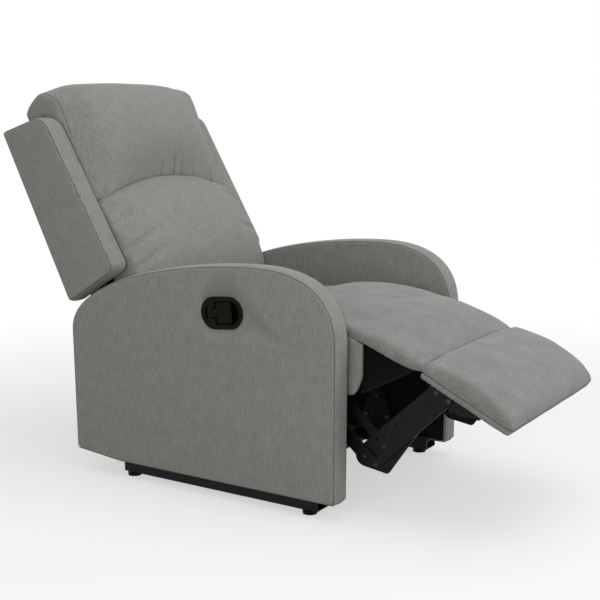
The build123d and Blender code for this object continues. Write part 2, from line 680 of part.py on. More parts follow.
# Cloth-covered facings at the seat's front corners, fixed to the ends of the front rail
with BuildPart() as seat_facings:
    facing_front = SEAT_FRONT_Y - FACING_REACH
    facing_rear = back_from_front(SEAT_CUSHION_FRONT - PAD_GAP)
    facing_z = (SEAT_FRAME_BOTTOM - FACING_DROP, SEAT_DECK + APRON_RISE)
    for side, _ in SIDES:
        with BuildSketch(side_plane(side, SOFT_HALF - FACING_THICKNESS, FACING_THICKNESS)):
            rect((facing_front, SEAT_FRONT_Y), facing_z)
            fillet(vertices().sort_by(lambda v: v.X + v.Y)[0], FACING_ROUNDING)
        extrude(amount=FACING_THICKNESS)
        with BuildSketch(side_plane(side, SEAT_RAIL_OUTER, SOFT_HALF - SEAT_RAIL_OUTER)):
            rect((SEAT_FRONT_Y, facing_rear), facing_z)
        extrude(amount=SOFT_HALF - SEAT_RAIL_OUTER)
save(seat_facings, "seat_facings")

seat_tube = tube_across(
    SEAT_RAIL_OUTER,
    (back_from_front(SEAT_TUBE_SETBACK), SEAT_FRAME_BOTTOM - SEAT_TUBE_DROP),
    SEAT_TUBE_RADIUS,
)
save(seat_tube, "seat_cross_tube")

pin_set("seat_pins", [
    *[(place, SEAT_LAYER, SWING_LAYER, False) for place in SWING_TOPS],
    (DRIVE_PIVOT, DRIVE_LAYER, SEAT_LAYER, False),
    (GUIDE_PIVOT, GUIDE_LAYER, SEAT_LAYER, True),
    (BACK_PIVOT, BACK_LAYER, SEAT_LAYER, True),
])


def fullness(station):
    """How full a cushion is at a station across it: one in the middle, none at its ends."""
    return 1 - station * station


with BuildPart() as seat_cushion:
    for station in CUSHION_STATIONS:
        base = CUSHION_BASE - SEAT_EDGE_DROP * (1 - fullness(station))
        front = back_from_front(SEAT_CUSHION_FRONT)
        rear = back_from_front(SEAT_CUSHION_REAR)
        channel = back_from_front(SEAT_CHANNEL_SETBACK)
        with BuildSketch(Plane.YZ.offset(station * SOFT_HALF)):
            with BuildLine():
                Line((rear, CUSHION_BASE), (front, CUSHION_BASE))
                Line((front, CUSHION_BASE), (front, base + SEAT_FRONT_HEIGHT))
                ThreePointArc((front, base + SEAT_FRONT_HEIGHT),
                              ((front + channel) / 2, base + SEAT_CROWN_HEIGHT),
                              (channel, base + SEAT_CHANNEL_HEIGHT))
                ThreePointArc((channel, base + SEAT_CHANNEL_HEIGHT),
                              ((channel + rear) / 2, base + SEAT_HOLLOW_HEIGHT),
                              (rear, base + SEAT_BACK_HEIGHT))
                Line((rear, base + SEAT_BACK_HEIGHT), (rear, CUSHION_BASE))
            make_face()
    loft()
save(seat_cushion, "seat_cushion")


# Footrest linkage
for side, hand in SIDES:
    drive_link = link_plates(
        (side,), DRIVE_LAYER, (DRIVE_PIVOT, KNEE_PIVOT, TILT_KNEE),
        (DRIVE_WIDTH / 2, DRIVE_WIDTH / 2, TILT_WIDTH / 2), (DRIVE_PIVOT, KNEE_PIVOT, TILT_KNEE),
    )
    save(drive_link, f"drive_link_{hand}")

    toe_end = polar(KNEE_PIVOT, EXTENSION_TOE_LENGTH, TILT_ANGLE)
    light_holes = [
        polar(polar(KNEE_PIVOT, along, EXTENSION_ANGLE), off, EXTENSION_ANGLE + 90)
        for along, off in LIGHT_HOLE_PLACES
    ]
    extension_link = link_plates(
        (side,), EXTENSION_LAYER, (KNEE_PIVOT, FOOTREST_PIVOT, toe_end),
        (EXTENSION_LOW_RADIUS, EXTENSION_HIGH_RADIUS, EXTENSION_TOE_RADIUS),
        (KNEE_PIVOT, FOOTREST_PIVOT, GUIDE_KNEE), light_holes,
    )
    save(extension_link, f"extension_link_{hand}")

guide_links = link_plates(
    BOTH, GUIDE_LAYER, (GUIDE_PIVOT, GUIDE_KNEE), (GUIDE_WIDTH / 2,) * 2, (GUIDE_PIVOT, GUIDE_KNEE)
)
save(guide_links, "guide_links")

tilt_links = link_plates(
    BOTH, TILT_LAYER, (TILT_KNEE, TILT_PIVOT), (TILT_WIDTH / 2,) * 2, (TILT_KNEE, TILT_PIVOT)
)
save(tilt_links, "tilt_links")

drive_tube = tube_across(plate_inner(DRIVE_LAYER), DRIVE_PIVOT, DRIVE_TUBE_RADIUS)
save(drive_tube, "drive_tube")

extension_tube = tube_across(
    plate_inner(EXTENSION_LAYER),
    polar(KNEE_PIVOT, EXTENSION_TUBE_PLACE, EXTENSION_ANGLE),
    EXTENSION_TUBE_RADIUS,
)
save(extension_tube, "extension_cross_tube")

pin_set("drive_pins", [
    (KNEE_PIVOT, EXTENSION_LAYER, DRIVE_LAYER, True),
    (TILT_KNEE, DRIVE_LAYER, TILT_LAYER, False),
])
pin_set("extension_pins", [
    (GUIDE_KNEE, GUIDE_LAYER, EXTENSION_LAYER, True),
    (FOOTREST_PIVOT, EXTENSION_LAYER, DRIVE_LAYER, True),
])
pin_set("footrest_pins", [(TILT_PIVOT, DRIVE_LAYER, TILT_LAYER, False)])


# Footrest
def on_footrest(along, out):
    """Side-view point at a place along the footrest and a height out of its padded face."""
    return (
        FOOTREST_START[0] + along * TOE[0] + out * FACE[0],
        FOOTREST_START[1] + along * TOE[1] + out * FACE[1],
    )


def footrest_block(x_range, along, out):
    """Block set square to the footrest."""
    with BuildPart() as piece:
        with BuildSketch(footrest_plane(x_range[0])):
            rect((-along[1], -along[0]), out)
        extrude(amount=x_range[1] - x_range[0])
    return piece


BOARD_HALF = SOFT_HALF - FOOTREST_BOARD_INSET
footrest_board = footrest_block(
    (-BOARD_HALF, BOARD_HALF),
    (FOOTREST_BOARD_INSET, FOOTREST_LENGTH - FOOTREST_BOARD_INSET),
    (0, FOOTREST_BOARD_THICKNESS),
)
save(footrest_board, "footrest_board")

BRACKET_END = BRACKET_START + BRACKET_LENGTH
BRACKET_INNER = plate_inner(DRIVE_LAYER)
SCREW_PLACES = (BRACKET_START + BUMPER_LENGTH / 2, BRACKET_END - BUMPER_LENGTH / 2)
SCREW_OFFSET = BRACKET_INNER + (PLATE + BRACKET_FLANGE) / 2
SCREW_SHANK_RADIUS = SCREW_HEAD_RADIUS / 2
for side, hand in SIDES:
    with BuildPart() as bracket:
        with BuildSketch(side_plane(side, BRACKET_INNER, PLATE)):
            shape(
                on_footrest(BRACKET_START, 0), on_footrest(BRACKET_END, 0),
                on_footrest(BRACKET_END, -BRACKET_DEPTH / 2),
                on_footrest(BRACKET_END - BRACKET_DEPTH, -BRACKET_DEPTH),
                on_footrest(BRACKET_START + BRACKET_DEPTH / 4, -BRACKET_DEPTH),
                on_footrest(BRACKET_START, -BRACKET_DEPTH / 2),
            )
            with Locations(FOOTREST_PIVOT, TILT_PIVOT):
                Circle(HOLE_RADIUS, mode=Mode.SUBTRACT)
        extrude(amount=PLATE)
        flange_x = mirrored(side, BRACKET_INNER, BRACKET_INNER + BRACKET_FLANGE)
        with BuildSketch(footrest_plane(flange_x[0])):
            rect((-BRACKET_END, -BRACKET_START), (-PLATE, 0))
        extrude(amount=BRACKET_FLANGE)
        underside = footrest_plane(side * SCREW_OFFSET)
        for place in SCREW_PLACES:
            start = underside.from_local_coords((-place, -PLATE, 0))
            with BuildSketch(Plane(origin=start, z_dir=underside.y_dir)):
                Circle(SCREW_SHANK_RADIUS + PIN_CLEARANCE)
            extrude(amount=PLATE, mode=Mode.SUBTRACT)
    save(bracket, f"footrest_bracket_{hand}")

with BuildPart() as footrest_screws:
    for side, _ in SIDES:
        underside = footrest_plane(side * SCREW_OFFSET)
        for place in SCREW_PLACES:
            start = underside.from_local_coords((-place, -PLATE, 0))
            with BuildSketch(Plane(origin=start, z_dir=underside.y_dir)):
                Circle(SCREW_SHANK_RADIUS)
            extrude(amount=PLATE)
            with BuildSketch(Plane(origin=start, z_dir=underside.y_dir)):
                Circle(SCREW_HEAD_RADIUS)
            extrude(amount=-SCREW_HEAD_HEIGHT)
save(footrest_screws, "footrest_screws")

with BuildPart() as bumpers:
    for side, _ in SIDES:
        bumper_x = mirrored(side, BRACKET_INNER - BUMPER_WIDTH, BRACKET_INNER)
        with BuildSketch(footrest_plane(bumper_x[0])):
            rect((-BRACKET_END, BUMPER_LENGTH - BRACKET_END), (-BUMPER_DEPTH, 0))
        extrude(amount=BUMPER_WIDTH)
save(bumpers, "footrest_bumpers")

with BuildPart() as footrest_cushion:
    for station in CUSHION_STATIONS:
        full = fullness(station)
        base = FOOTREST_BOARD_THICKNESS
        heel = base + FOOTREST_HEEL + full * FOOTREST_CROWN / 2
        middle = base + FOOTREST_MIDDLE + full * FOOTREST_CROWN
        nose = base + FOOTREST_NOSE + full * FOOTREST_CROWN / 4
        with BuildSketch(footrest_plane(station * SOFT_HALF)):
            with BuildLine():
                Line((-FOOTREST_LENGTH, base), (0, base))
                Line((0, base), (0, heel))
                ThreePointArc((0, heel), (-FOOTREST_LENGTH / 2, middle), (-FOOTREST_LENGTH, nose))
                Line((-FOOTREST_LENGTH, nose), (-FOOTREST_LENGTH, base))
            make_face()
    loft()
save(footrest_cushion, "footrest_cushion")

# Bridging pad between the seat cushion and the footrest
with BuildPart() as chaise_pad:
    for station in CUSHION_STATIONS:
        full = fullness(station)
        rear = back_from_front(SEAT_CUSHION_FRONT) - PAD_GAP / 3
        rear_top = CUSHION_BASE + SEAT_FRONT_HEIGHT - SEAT_EDGE_DROP * (1 - full)
        rear_low = CUSHION_BASE + SEAT_FRONT_HEIGHT - SEAT_EDGE_DROP - PAD_EDGE_THICKNESS
        heel = FOOTREST_BOARD_THICKNESS + FOOTREST_HEEL + full * FOOTREST_CROWN / 2 - PAD_BOW
        front_top = on_footrest(-PAD_GAP, heel)
        front_low = on_footrest(-PAD_GAP, 0)
        bow = PAD_BOW + PAD_CROWN * full
        middle = ((rear + front_top[0]) / 2, (rear_top + front_top[1]) / 2 + bow)
        with BuildSketch(Plane.YZ.offset(station * SOFT_HALF)):
            with BuildLine():
                Line(front_low, (rear, rear_low))
                Line((rear, rear_low), (rear, rear_top))
                ThreePointArc((rear, rear_top), middle, front_top)
                Line(front_top, front_low)
            make_face()
    loft()
save(chaise_pad, "chaise_pad")


# Back frame
POST_OUTER = plate_inner(BACK_LAYER)
POST_INNER = POST_OUTER - BACK_POST_WIDTH
BACK_BOLT_PLACES = [(BACK_BOLT_DEPTH, BACK_BRACKET_LENGTH - end) for end in BACK_BOLT_ENDS]


def back_block(x_range, depth, height):
    """Block set square to the leaning back."""
    with BuildPart() as piece:
        with BuildSketch(back_plane(x_range[0])):
            rect(depth, height)
        extrude(amount=x_range[1] - x_range[0])
    return piece


def wing_outline(inset):
    """Side outline of a wing, drawn in all round."""
    with BuildLine() as outline:
        FilletPolyline(
            (WING_FRONT_LOW + inset, WING_FOOT_FRONT + inset),
            (WING_REAR_LOW - inset, WING_FOOT_REAR + inset),
            (WING_REAR_HIGH - inset, WING_TOP_REAR - inset),
            (WING_FRONT_HIGH + inset, WING_TOP_FRONT - inset),
            radius=[WING_CORNER_RADIUS, WING_CORNER_RADIUS / 2, WING_CORNER_RADIUS / 2, WING_TOP_RADIUS],
            close=True,
        )
    make_face(outline.edges())


with BuildPart() as back_posts:
    for side, _ in SIDES:
        with BuildSketch(back_plane(mirrored(side, POST_INNER, POST_OUTER)[0])):
            rect((BACK_POST_FRONT, BACK_POST_REAR), (BACK_POST_FOOT, BACK_POST_TOP))
        extrude(amount=BACK_POST_WIDTH)
save(back_posts, "back_posts")

with BuildPart() as back_brackets:
    for side, _ in SIDES:
        with BuildSketch(back_plane(mirrored(side, POST_OUTER, POST_OUTER + PLATE)[0])):
            rect((BACK_POST_FRONT, BACK_POST_REAR), (0, BACK_BRACKET_LENGTH))
            Circle(BACK_POST_WIDTH / 2)
            Circle(HOLE_RADIUS, mode=Mode.SUBTRACT)
            with Locations(*BACK_BOLT_PLACES):
                Circle(BOLT_SHANK_RADIUS + PIN_CLEARANCE, mode=Mode.SUBTRACT)
        extrude(amount=PLATE)
save(back_brackets, "back_brackets")

with BuildPart() as wing_panels:
    for side, _ in SIDES:
        with BuildSketch(back_plane(mirrored(side, ARM_INNER, ARM_INNER + WING_PANEL)[0])):
            wing_outline(WING_INSET)
        extrude(amount=WING_PANEL)
save(wing_panels, "wing_panels")

for side, hand in SIDES:
    panel_x = mirrored(side, ARM_INNER, ARM_INNER + WING_PANEL)
    wing_x = mirrored(side, ARM_INNER, ARM_OUTER)
    with BuildPart() as wing:
        with BuildSketch(back_plane(wing_x[0])):
            wing_outline(0)
        extrude(amount=ARM_WIDTH)
        fillet(wing.faces().filter_by(Axis.X).edges(), WING_EDGE_RADIUS)
        with BuildSketch(back_plane(panel_x[0])):
            wing_outline(WING_INSET)
        extrude(amount=WING_PANEL, mode=Mode.SUBTRACT)
    save(wing, f"wing_{hand}")

with BuildPart() as back_bolts:
    for side, _ in SIDES:
        for depth, height in BACK_BOLT_PLACES:
            place = back_plane(0).from_local_coords((depth, height, 0))
            round_bar(side, (place.Y, place.Z), POST_OUTER, POST_OUTER + PLATE, BOLT_SHANK_RADIUS)
            round_bar(side, (place.Y, place.Z), POST_OUTER + PLATE,
                      POST_OUTER + PLATE + BOLT_HEAD_HEIGHT, BOLT_HEAD_RADIUS)
save(back_bolts, "back_bolts")

rail_pitch = (BACK_POST_TOP - BACK_RAIL_HEIGHT - BACK_RAIL_LOW) / (BACK_RAIL_COUNT - 1)
for index, label in zip(range(BACK_RAIL_COUNT), ("lower", "middle", "upper")):
    low = BACK_RAIL_LOW + index * rail_pitch
    rail = back_block(
        (-ARM_INNER, ARM_INNER), (BACK_POST_REAR, BACK_RAIL_REAR), (low, low + BACK_RAIL_HEIGHT)
    )
    save(rail, f"back_rail_{label}")

back_board = back_block(
    (-SOFT_HALF, SOFT_HALF),
    (BACK_RAIL_REAR, BACK_RAIL_REAR + BACK_BOARD_THICKNESS),
    (BACK_BOARD_FOOT, BACK_POST_TOP - BACK_BOARD_DROP),
)
save(back_board, "back_board")

WEB_FRONT = BACK_POST_FRONT - WEBBING_THICKNESS
web_reach = BACK_POST_TOP - BACK_WEB_MARGIN - WEBBING_WIDTH - BACK_WEB_LOW
with BuildPart() as back_webbing:
    with BuildSketch(back_plane(-POST_OUTER)):
        for index in range(BACK_WEB_COUNT):
            low = BACK_WEB_LOW + index * web_reach / (BACK_WEB_COUNT - 1)
            rect((WEB_FRONT, BACK_POST_FRONT), (low, low + WEBBING_WIDTH))
    extrude(amount=2 * POST_OUTER)
save(back_webbing, "back_webbing")


# Lumbar and head cushions with the arched crease between them
def on_sweep(depth):
    """Point at a depth in front of the hinge on the circle that clears the seat cushion."""
    return (-depth, sqrt(LUMBAR_SWEEP_RADIUS ** 2 - depth ** 2))


with BuildPart() as lumbar_cushion:
    for station in CUSHION_STATIONS:
        full = fullness(station)
        lip = on_sweep(LUMBAR_LIP_DEPTH - LUMBAR_LIP_DRAW * (1 - full))
        inner = on_sweep(-WEB_FRONT)
        arch = on_sweep((-lip[0] - inner[0]) / 2)
        crease = CREASE_HEIGHT - CREASE_ARCH * (1 - full) - CREASE_GAP / 2
        crease_front = (-CREASE_DEPTH + CREASE_DRAW * (1 - full), crease)
        depth = LUMBAR_EDGE_DEPTH + (LUMBAR_CROWN_DEPTH - LUMBAR_EDGE_DEPTH) * full
        belly = (-depth, (lip[1] + crease) / 2)
        with BuildSketch(back_plane(station * SOFT_HALF)):
            with BuildLine():
                ThreePointArc(lip, arch, inner)
                Line(inner, (WEB_FRONT, crease))
                Line((WEB_FRONT, crease), crease_front)
                ThreePointArc(crease_front, belly, lip)
            make_face()
    loft()
save(lumbar_cushion, "lumbar_cushion")

HEAD_SEAT = BACK_POST_TOP + HEAD_GAP
with BuildPart() as head_cushion:
    for station in CUSHION_STATIONS:
        full = fullness(station)
        broad = sqrt(full)
        crease = CREASE_HEIGHT - CREASE_ARCH * (1 - full) + CREASE_GAP / 2
        crease_front = (-CREASE_DEPTH + CREASE_DRAW * (1 - full), crease)
        top = BACK_POST_TOP + HEAD_RISE - HEAD_EDGE_DROP * (1 - broad)
        rear = HEAD_REAR - HEAD_REAR_DRAW * (1 - broad)
        shoulder = (rear, top - HEAD_SHOULDER_DROP)
        draw = HEAD_FRONT_DRAW * (1 - broad)
        crest = (draw / 3 - HEAD_CREST_DEPTH, top)
        brow = (draw / 4 - HEAD_BROW_DEPTH, top - HEAD_BROW_DROP)
        belly = (draw - HEAD_CROWN_DEPTH, (crease + brow[1]) / 2)
        with BuildSketch(back_plane(station * SOFT_HALF)):
            with BuildLine():
                Line(crease_front, (WEB_FRONT, crease))
                Line((WEB_FRONT, crease), (WEB_FRONT, HEAD_SEAT))
                Line((WEB_FRONT, HEAD_SEAT), (rear, HEAD_SEAT))
                Line((rear, HEAD_SEAT), shoulder)
                ThreePointArc(shoulder, crest, brow)
                ThreePointArc(brow, belly, crease_front)
            make_face()
    loft()
save(head_cushion, "head_cushion")
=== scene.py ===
"""Looks of the recliner armchair: cloth, padding, seams, finishes, studio and camera."""

import json
import logging
import math
from contextlib import contextmanager
from dataclasses import dataclass
from enum import Enum
from typing import Any, Callable, Iterator, Mapping, Optional, Sequence, Union

import bmesh
import bpy
import numpy as np
from mathutils import Matrix, Vector
from mathutils.geometry import interpolate_bezier

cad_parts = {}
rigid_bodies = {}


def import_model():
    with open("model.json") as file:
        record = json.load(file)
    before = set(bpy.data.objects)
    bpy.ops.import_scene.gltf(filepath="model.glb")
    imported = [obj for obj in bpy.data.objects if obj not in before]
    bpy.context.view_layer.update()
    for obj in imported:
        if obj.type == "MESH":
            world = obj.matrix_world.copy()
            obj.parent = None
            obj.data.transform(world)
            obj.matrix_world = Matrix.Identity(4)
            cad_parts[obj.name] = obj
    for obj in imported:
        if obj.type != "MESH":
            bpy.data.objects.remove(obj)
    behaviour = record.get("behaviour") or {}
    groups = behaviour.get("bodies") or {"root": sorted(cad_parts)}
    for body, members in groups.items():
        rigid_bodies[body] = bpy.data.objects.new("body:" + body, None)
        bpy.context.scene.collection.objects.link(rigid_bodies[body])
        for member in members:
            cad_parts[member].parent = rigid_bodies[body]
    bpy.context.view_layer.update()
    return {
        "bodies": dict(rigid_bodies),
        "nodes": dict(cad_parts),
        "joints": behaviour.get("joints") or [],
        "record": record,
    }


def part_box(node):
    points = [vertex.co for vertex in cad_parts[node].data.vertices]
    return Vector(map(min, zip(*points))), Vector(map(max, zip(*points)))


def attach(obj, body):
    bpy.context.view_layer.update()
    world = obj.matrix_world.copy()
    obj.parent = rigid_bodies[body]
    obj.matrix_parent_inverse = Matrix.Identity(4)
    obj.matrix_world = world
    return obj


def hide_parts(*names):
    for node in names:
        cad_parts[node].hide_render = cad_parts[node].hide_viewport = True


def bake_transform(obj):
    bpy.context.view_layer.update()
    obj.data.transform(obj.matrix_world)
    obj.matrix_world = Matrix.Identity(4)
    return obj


LOG = logging.getLogger("armchair")

# The sitter's two sides, as signs of X
SIDES = ((-1, "right"), (1, "left"))

# Tilt of the back at rest
BACK_TILT = math.radians(27.0)

# Height below which the arms are lined inside
# The arms' inner faces below this height are lined dark as painted shade under the seat
SHADE_LINED_BELOW = 0.400

# The stuffing's simulation
RESTS_BELOW = -0.6
SETTLE_FRAMES = 20
CLOTH_QUALITY = 4
CLOTH_MASS = 0.3
EVENING_ROUNDS = 60

Colour = tuple[float, float, float]
Pair = tuple[float, float]
Triple = tuple[float, float, float]
Array = np.ndarray
Material = bpy.types.Material
Mesh = bmesh.types.BMesh
Piece = bpy.types.Object
Socket = bpy.types.NodeSocket


def operator(operation: str, turned: bool = False) -> Callable[["Value", "Term"], "Value"]:
    """Make an arithmetic method, which puts the value on the right if it is turned."""

    def method(self: "Value", other: "Term") -> "Value":
        """Add the node over both terms."""
        return self.math(operation, other, self) if turned else self.math(operation, self, other)

    return method


class Value:
    """A number socket that takes part in Python arithmetic."""

    def __init__(self, graph: "Graph", socket: Socket) -> None:
        """Keep the socket and the graph that it belongs to."""
        self.graph = graph
        self.socket = socket

    def math(self, operation: str, *terms: "Term") -> "Value":
        """Add a Math node over the terms and return its result."""
        return self.graph.value("ShaderNodeMath", {"operation": operation}, dict(enumerate(terms)))

    __add__ = operator("ADD")
    __radd__ = operator("ADD", turned=True)
    __sub__ = operator("SUBTRACT")
    __rsub__ = operator("SUBTRACT", turned=True)
    __mul__ = operator("MULTIPLY")
    __rmul__ = operator("MULTIPLY", turned=True)

    def either(self, other: "Term") -> "Value":
        """The larger of two values."""
        return self.math("MAXIMUM", self, other)

    def between(self, low: float, high: float) -> "Value":
        """Smooth step from 0 at low to 1 at high."""
        sockets = {"Value": self, "From Min": low, "From Max": high}
        return self.graph.value("ShaderNodeMapRange", {"interpolation_type": "SMOOTHSTEP"}, sockets)


Term = Union[float, Value]
Options = Mapping[Union[str, int], Any]


class Graph:
    """The node tree of one material or of the world."""

    def __init__(self, holder: Union[Material, bpy.types.World]) -> None:
        """Empty the holder's tree."""
        self.holder = holder
        holder.use_nodes = True
        self.tree = holder.node_tree
        self.tree.nodes.clear()

    def add(self, kind: str, settings: Options, sockets: Options) -> bpy.types.Node:
        """Add a node, set its own properties, then fill its inputs by name or number."""
        node = self.tree.nodes.new(kind)
        for key, setting in settings.items():
            setattr(node, key, setting)
        for key, term in sockets.items():
            target = node.inputs[key]
            source = term.socket if isinstance(term, Value) else term
            if isinstance(source, Socket):
                self.tree.links.new(source, target)
            elif target.type == "RGBA":
                target.default_value = (*source[:3], 1.0)
            else:
                target.default_value = source
        return node

    def value(self, kind: str, settings: Options, sockets: Options, output: Union[str, int] = 0) -> Value:
        """Add a node and return one of its outputs as a number."""
        return Value(self, self.add(kind, settings, sockets).outputs[output])

    def place(self) -> Socket:
        """Object coordinates, which are the part's own metres."""
        return self.add("ShaderNodeTexCoord", {}, {}).outputs["Object"]

    def combed(self, way: "Grain") -> Socket:
        """Object coordinates stretched along the way that a nap or grain runs."""
        stretch, turn = way.value
        sockets = {"Vector": self.place(), "Rotation": (turn, 0.0, 0.0), "Scale": stretch}
        return self.add("ShaderNodeMapping", {"vector_type": "TEXTURE"}, sockets).outputs[0]

    def noise(self, vector: Socket, scale: float, detail: float = 2.0) -> Value:
        """Soft noise around one half."""
        return self.value("ShaderNodeTexNoise", {}, {"Vector": vector, "Scale": scale, "Detail": detail})

    def cells(self, vector: Socket, scale: float) -> Value:
        """Distance to the nearest of many scattered points."""
        return self.value("ShaderNodeTexVoronoi", {}, {"Vector": vector, "Scale": scale}, "Distance")

    def mix(self, share: Value, first: Any, second: Any) -> Socket:
        """Mix two colours."""
        return self.add("ShaderNodeMix", {"data_type": "RGBA"}, {0: share, 6: first, 7: second}).outputs[2]

    def bump(self, height: Value, strength: float, distance: float) -> Socket:
        """Normal raised by a height."""
        sockets = {"Height": height, "Strength": strength, "Distance": distance}
        return self.add("ShaderNodeBump", {}, sockets).outputs[0]

    def finish(self, **inputs: Any) -> Material:
        """Close the material with a principled shader, given its inputs with _ for each space."""
        sockets = {key.replace("_", " "): term for key, term in inputs.items()}
        shader = self.add("ShaderNodeBsdfPrincipled", {}, sockets)
        self.add("ShaderNodeOutputMaterial", {}, {"Surface": shader.outputs[0]})
        return self.holder


class Grain(Enum):
    """Way a nap or grain runs: its stretch on each axis, and its turn about X."""

    UPRIGHT = ((1.0, 1.0, 9.0), 0.0)
    LEANING = ((1.0, 1.0, 5.0), -BACK_TILT)
    LENGTHWISE = ((1.0, 5.0, 1.0), 0.0)
    CROSSWISE = ((6.0, 1.0, 1.0), 0.0)


@dataclass(frozen=True)
class Chenille:
    """Brushed upholstery cloth with a short streaky nap and fine yarn nubs."""

    name: str
    grain: Grain
    dark: Colour = (0.160, 0.156, 0.147)
    light: Colour = (0.322, 0.315, 0.300)
    patch: float = 0.26
    patch_scale: float = 30.0
    streak: float = 0.75
    nub: float = 0.50

    def material(self) -> Material:
        """Make the cloth."""
        graph = Graph(bpy.data.materials.new(self.name))
        place = graph.place()
        streaks = graph.noise(graph.combed(self.grain), 330.0, 3.0)
        patches = graph.noise(place, self.patch_scale, 4.0)
        nubs = graph.cells(place, 620.0)
        tone = 0.5 + self.patch * (patches - 0.5) + self.streak * (streaks - 0.5) + self.nub * (0.45 - nubs)
        height = 0.55 * streaks + 0.45 * (1.0 - nubs)
        return graph.finish(
            Base_Color=graph.mix(tone.between(0.0, 1.0), self.dark, self.light),
            Roughness=0.80 + 0.25 * (streaks - 0.3),
            Normal=graph.bump(height, 0.55, 0.0009),
            Sheen_Weight=0.22,
            Sheen_Roughness=0.45,
            Specular_IOR_Level=0.18,
        )


@dataclass(frozen=True)
class Mottled:
    """A finish whose shade and roughness drift together: felt, thread, plastic or blackened steel."""

    name: str
    shade: Colour
    glint: Colour
    scale: float
    detail: float
    roughness: Pair
    relief: Optional[Pair] = None
    pebble: Optional[float] = None
    metallic: float = 0.0
    specular: float = 0.5

    def material(self) -> Material:
        """Make the finish."""
        graph = Graph(bpy.data.materials.new(self.name))
        place = graph.place()
        drift = graph.noise(place, self.scale, self.detail)
        height = graph.cells(place, self.pebble) if self.pebble else drift
        raised = {"Normal": graph.bump(height, *self.relief)} if self.relief else {}
        return graph.finish(
            Base_Color=graph.mix(drift, self.shade, self.glint),
            Roughness=self.roughness[0] + self.roughness[1] * drift,
            Metallic=self.metallic,
            Specular_IOR_Level=self.specular,
            **raised,
        )


@dataclass(frozen=True)
class PaintedSteel:
    """Satin blue-black paint on pressed steel, rubbed a little."""

    name: str = "painted_steel"
    shade: Colour = (0.0032, 0.0037, 0.0050)
    rubbed: Colour = (0.0092, 0.0102, 0.0128)

    def material(self) -> Material:
        """Make the paint."""
        graph = Graph(bpy.data.materials.new(self.name))
        place = graph.place()
        cloud = graph.noise(place, 38.0, 5.0)
        peel = graph.noise(place, 700.0, 1.0)
        scuffs = graph.noise(place, 120.0, 6.0).between(0.56, 0.72)
        return graph.finish(
            Base_Color=graph.mix(0.35 * cloud + 0.65 * scuffs, self.shade, self.rubbed),
            Roughness=0.30 + 0.16 * cloud + 0.12 * scuffs,
            Normal=graph.bump(peel, 0.12, 0.0004),
            Specular_IOR_Level=0.14,
        )


@dataclass(frozen=True)
class FrameTimber:
    """Raw pine and plywood of the frame."""

    name: str = "frame_timber"
    pale: Colour = (0.46, 0.31, 0.17)
    ring: Colour = (0.30, 0.18, 0.085)

    def material(self) -> Material:
        """Make the wood."""
        graph = Graph(bpy.data.materials.new(self.name))
        grain = graph.noise(graph.combed(Grain.CROSSWISE), 90.0, 5.0)
        pores = graph.noise(graph.combed(Grain.CROSSWISE), 420.0, 2.0)
        return graph.finish(
            Base_Color=graph.mix(grain.between(0.35, 0.68), self.pale, self.ring),
            Roughness=0.55 + 0.25 * pores,
            Normal=graph.bump(0.6 * grain + 0.4 * pores, 0.35, 0.0006),
        )


@dataclass(frozen=True)
class ElasticWebbing:
    """Woven elastic straps."""

    name: str = "elastic_webbing"
    shade: Colour = (0.045, 0.042, 0.038)
    rib: Colour = (0.16, 0.15, 0.135)

    def material(self) -> Material:
        """Make the straps."""
        graph = Graph(bpy.data.materials.new(self.name))
        sockets = {"Vector": graph.place(), "Scale": 95.0, "Distortion": 0.6, "Detail": 1.0}
        ribs = graph.value("ShaderNodeTexWave", {"bands_direction": "X"}, sockets, "Fac")
        lint = graph.noise(graph.place(), 300.0, 3.0)
        return graph.finish(
            Base_Color=graph.mix(0.6 * ribs + 0.4 * lint, self.shade, self.rib),
            Roughness=0.75 + 0.2 * lint,
            Normal=graph.bump(ribs, 0.5, 0.0008),
        )


def rows(items: Any, key: str) -> Array:
    """Three numbers of each item of a mesh, one row each."""
    flat = np.empty(3 * len(items))
    items.foreach_get(key, flat)
    return flat.reshape(-1, 3)


def points_of(piece: Piece) -> Array:
    """Places of a piece's vertices, one row each."""
    return rows(piece.data.vertices, "co")


def normals_of(piece: Piece) -> Array:
    """Outward directions at a piece's vertices, one row each."""
    return rows(piece.data.vertex_normals, "vector")


def put_points(piece: Piece, places: Array) -> None:
    """Move a piece's vertices to new places."""
    piece.data.vertices.foreach_set("co", places.astype(np.float32).ravel())
    piece.data.update()


def shown(name: str, data: bpy.types.ID) -> Piece:
    """Put a mesh, lamp or camera in the scene, at the origin."""
    piece = bpy.data.objects.new(name, data)
    bpy.context.scene.collection.objects.link(piece)
    return piece


def piece_from(mesh: Mesh, name: str, *finishes: Material) -> Piece:
    """Turn a bmesh, which is freed, into a smooth piece in the scene."""
    data = bpy.data.meshes.new(name)
    mesh.to_mesh(data)
    mesh.free()
    data.shade_smooth()
    for finish in finishes:
        data.materials.append(finish)
    return shown(name, data)


def modify(piece: Piece, kind: str, **settings: Any) -> None:
    """Apply one modifier, with its own properties set, to a piece's mesh."""
    modifier = piece.modifiers.new(kind, kind)
    for key, setting in settings.items():
        setattr(modifier, key, setting)
    bpy.context.view_layer.update()
    graph = bpy.context.evaluated_depsgraph_get()
    data = bpy.data.meshes.new_from_object(piece.evaluated_get(graph), depsgraph=graph)
    piece.modifiers.clear()
    old = piece.data
    piece.data = data
    data.name = piece.name
    data.shade_smooth()
    bpy.data.meshes.remove(old)


def subdivide(piece: Piece, levels: int = 1) -> None:
    """Round a piece by subdivision."""
    modify(piece, "SUBSURF", levels=levels, render_levels=levels)


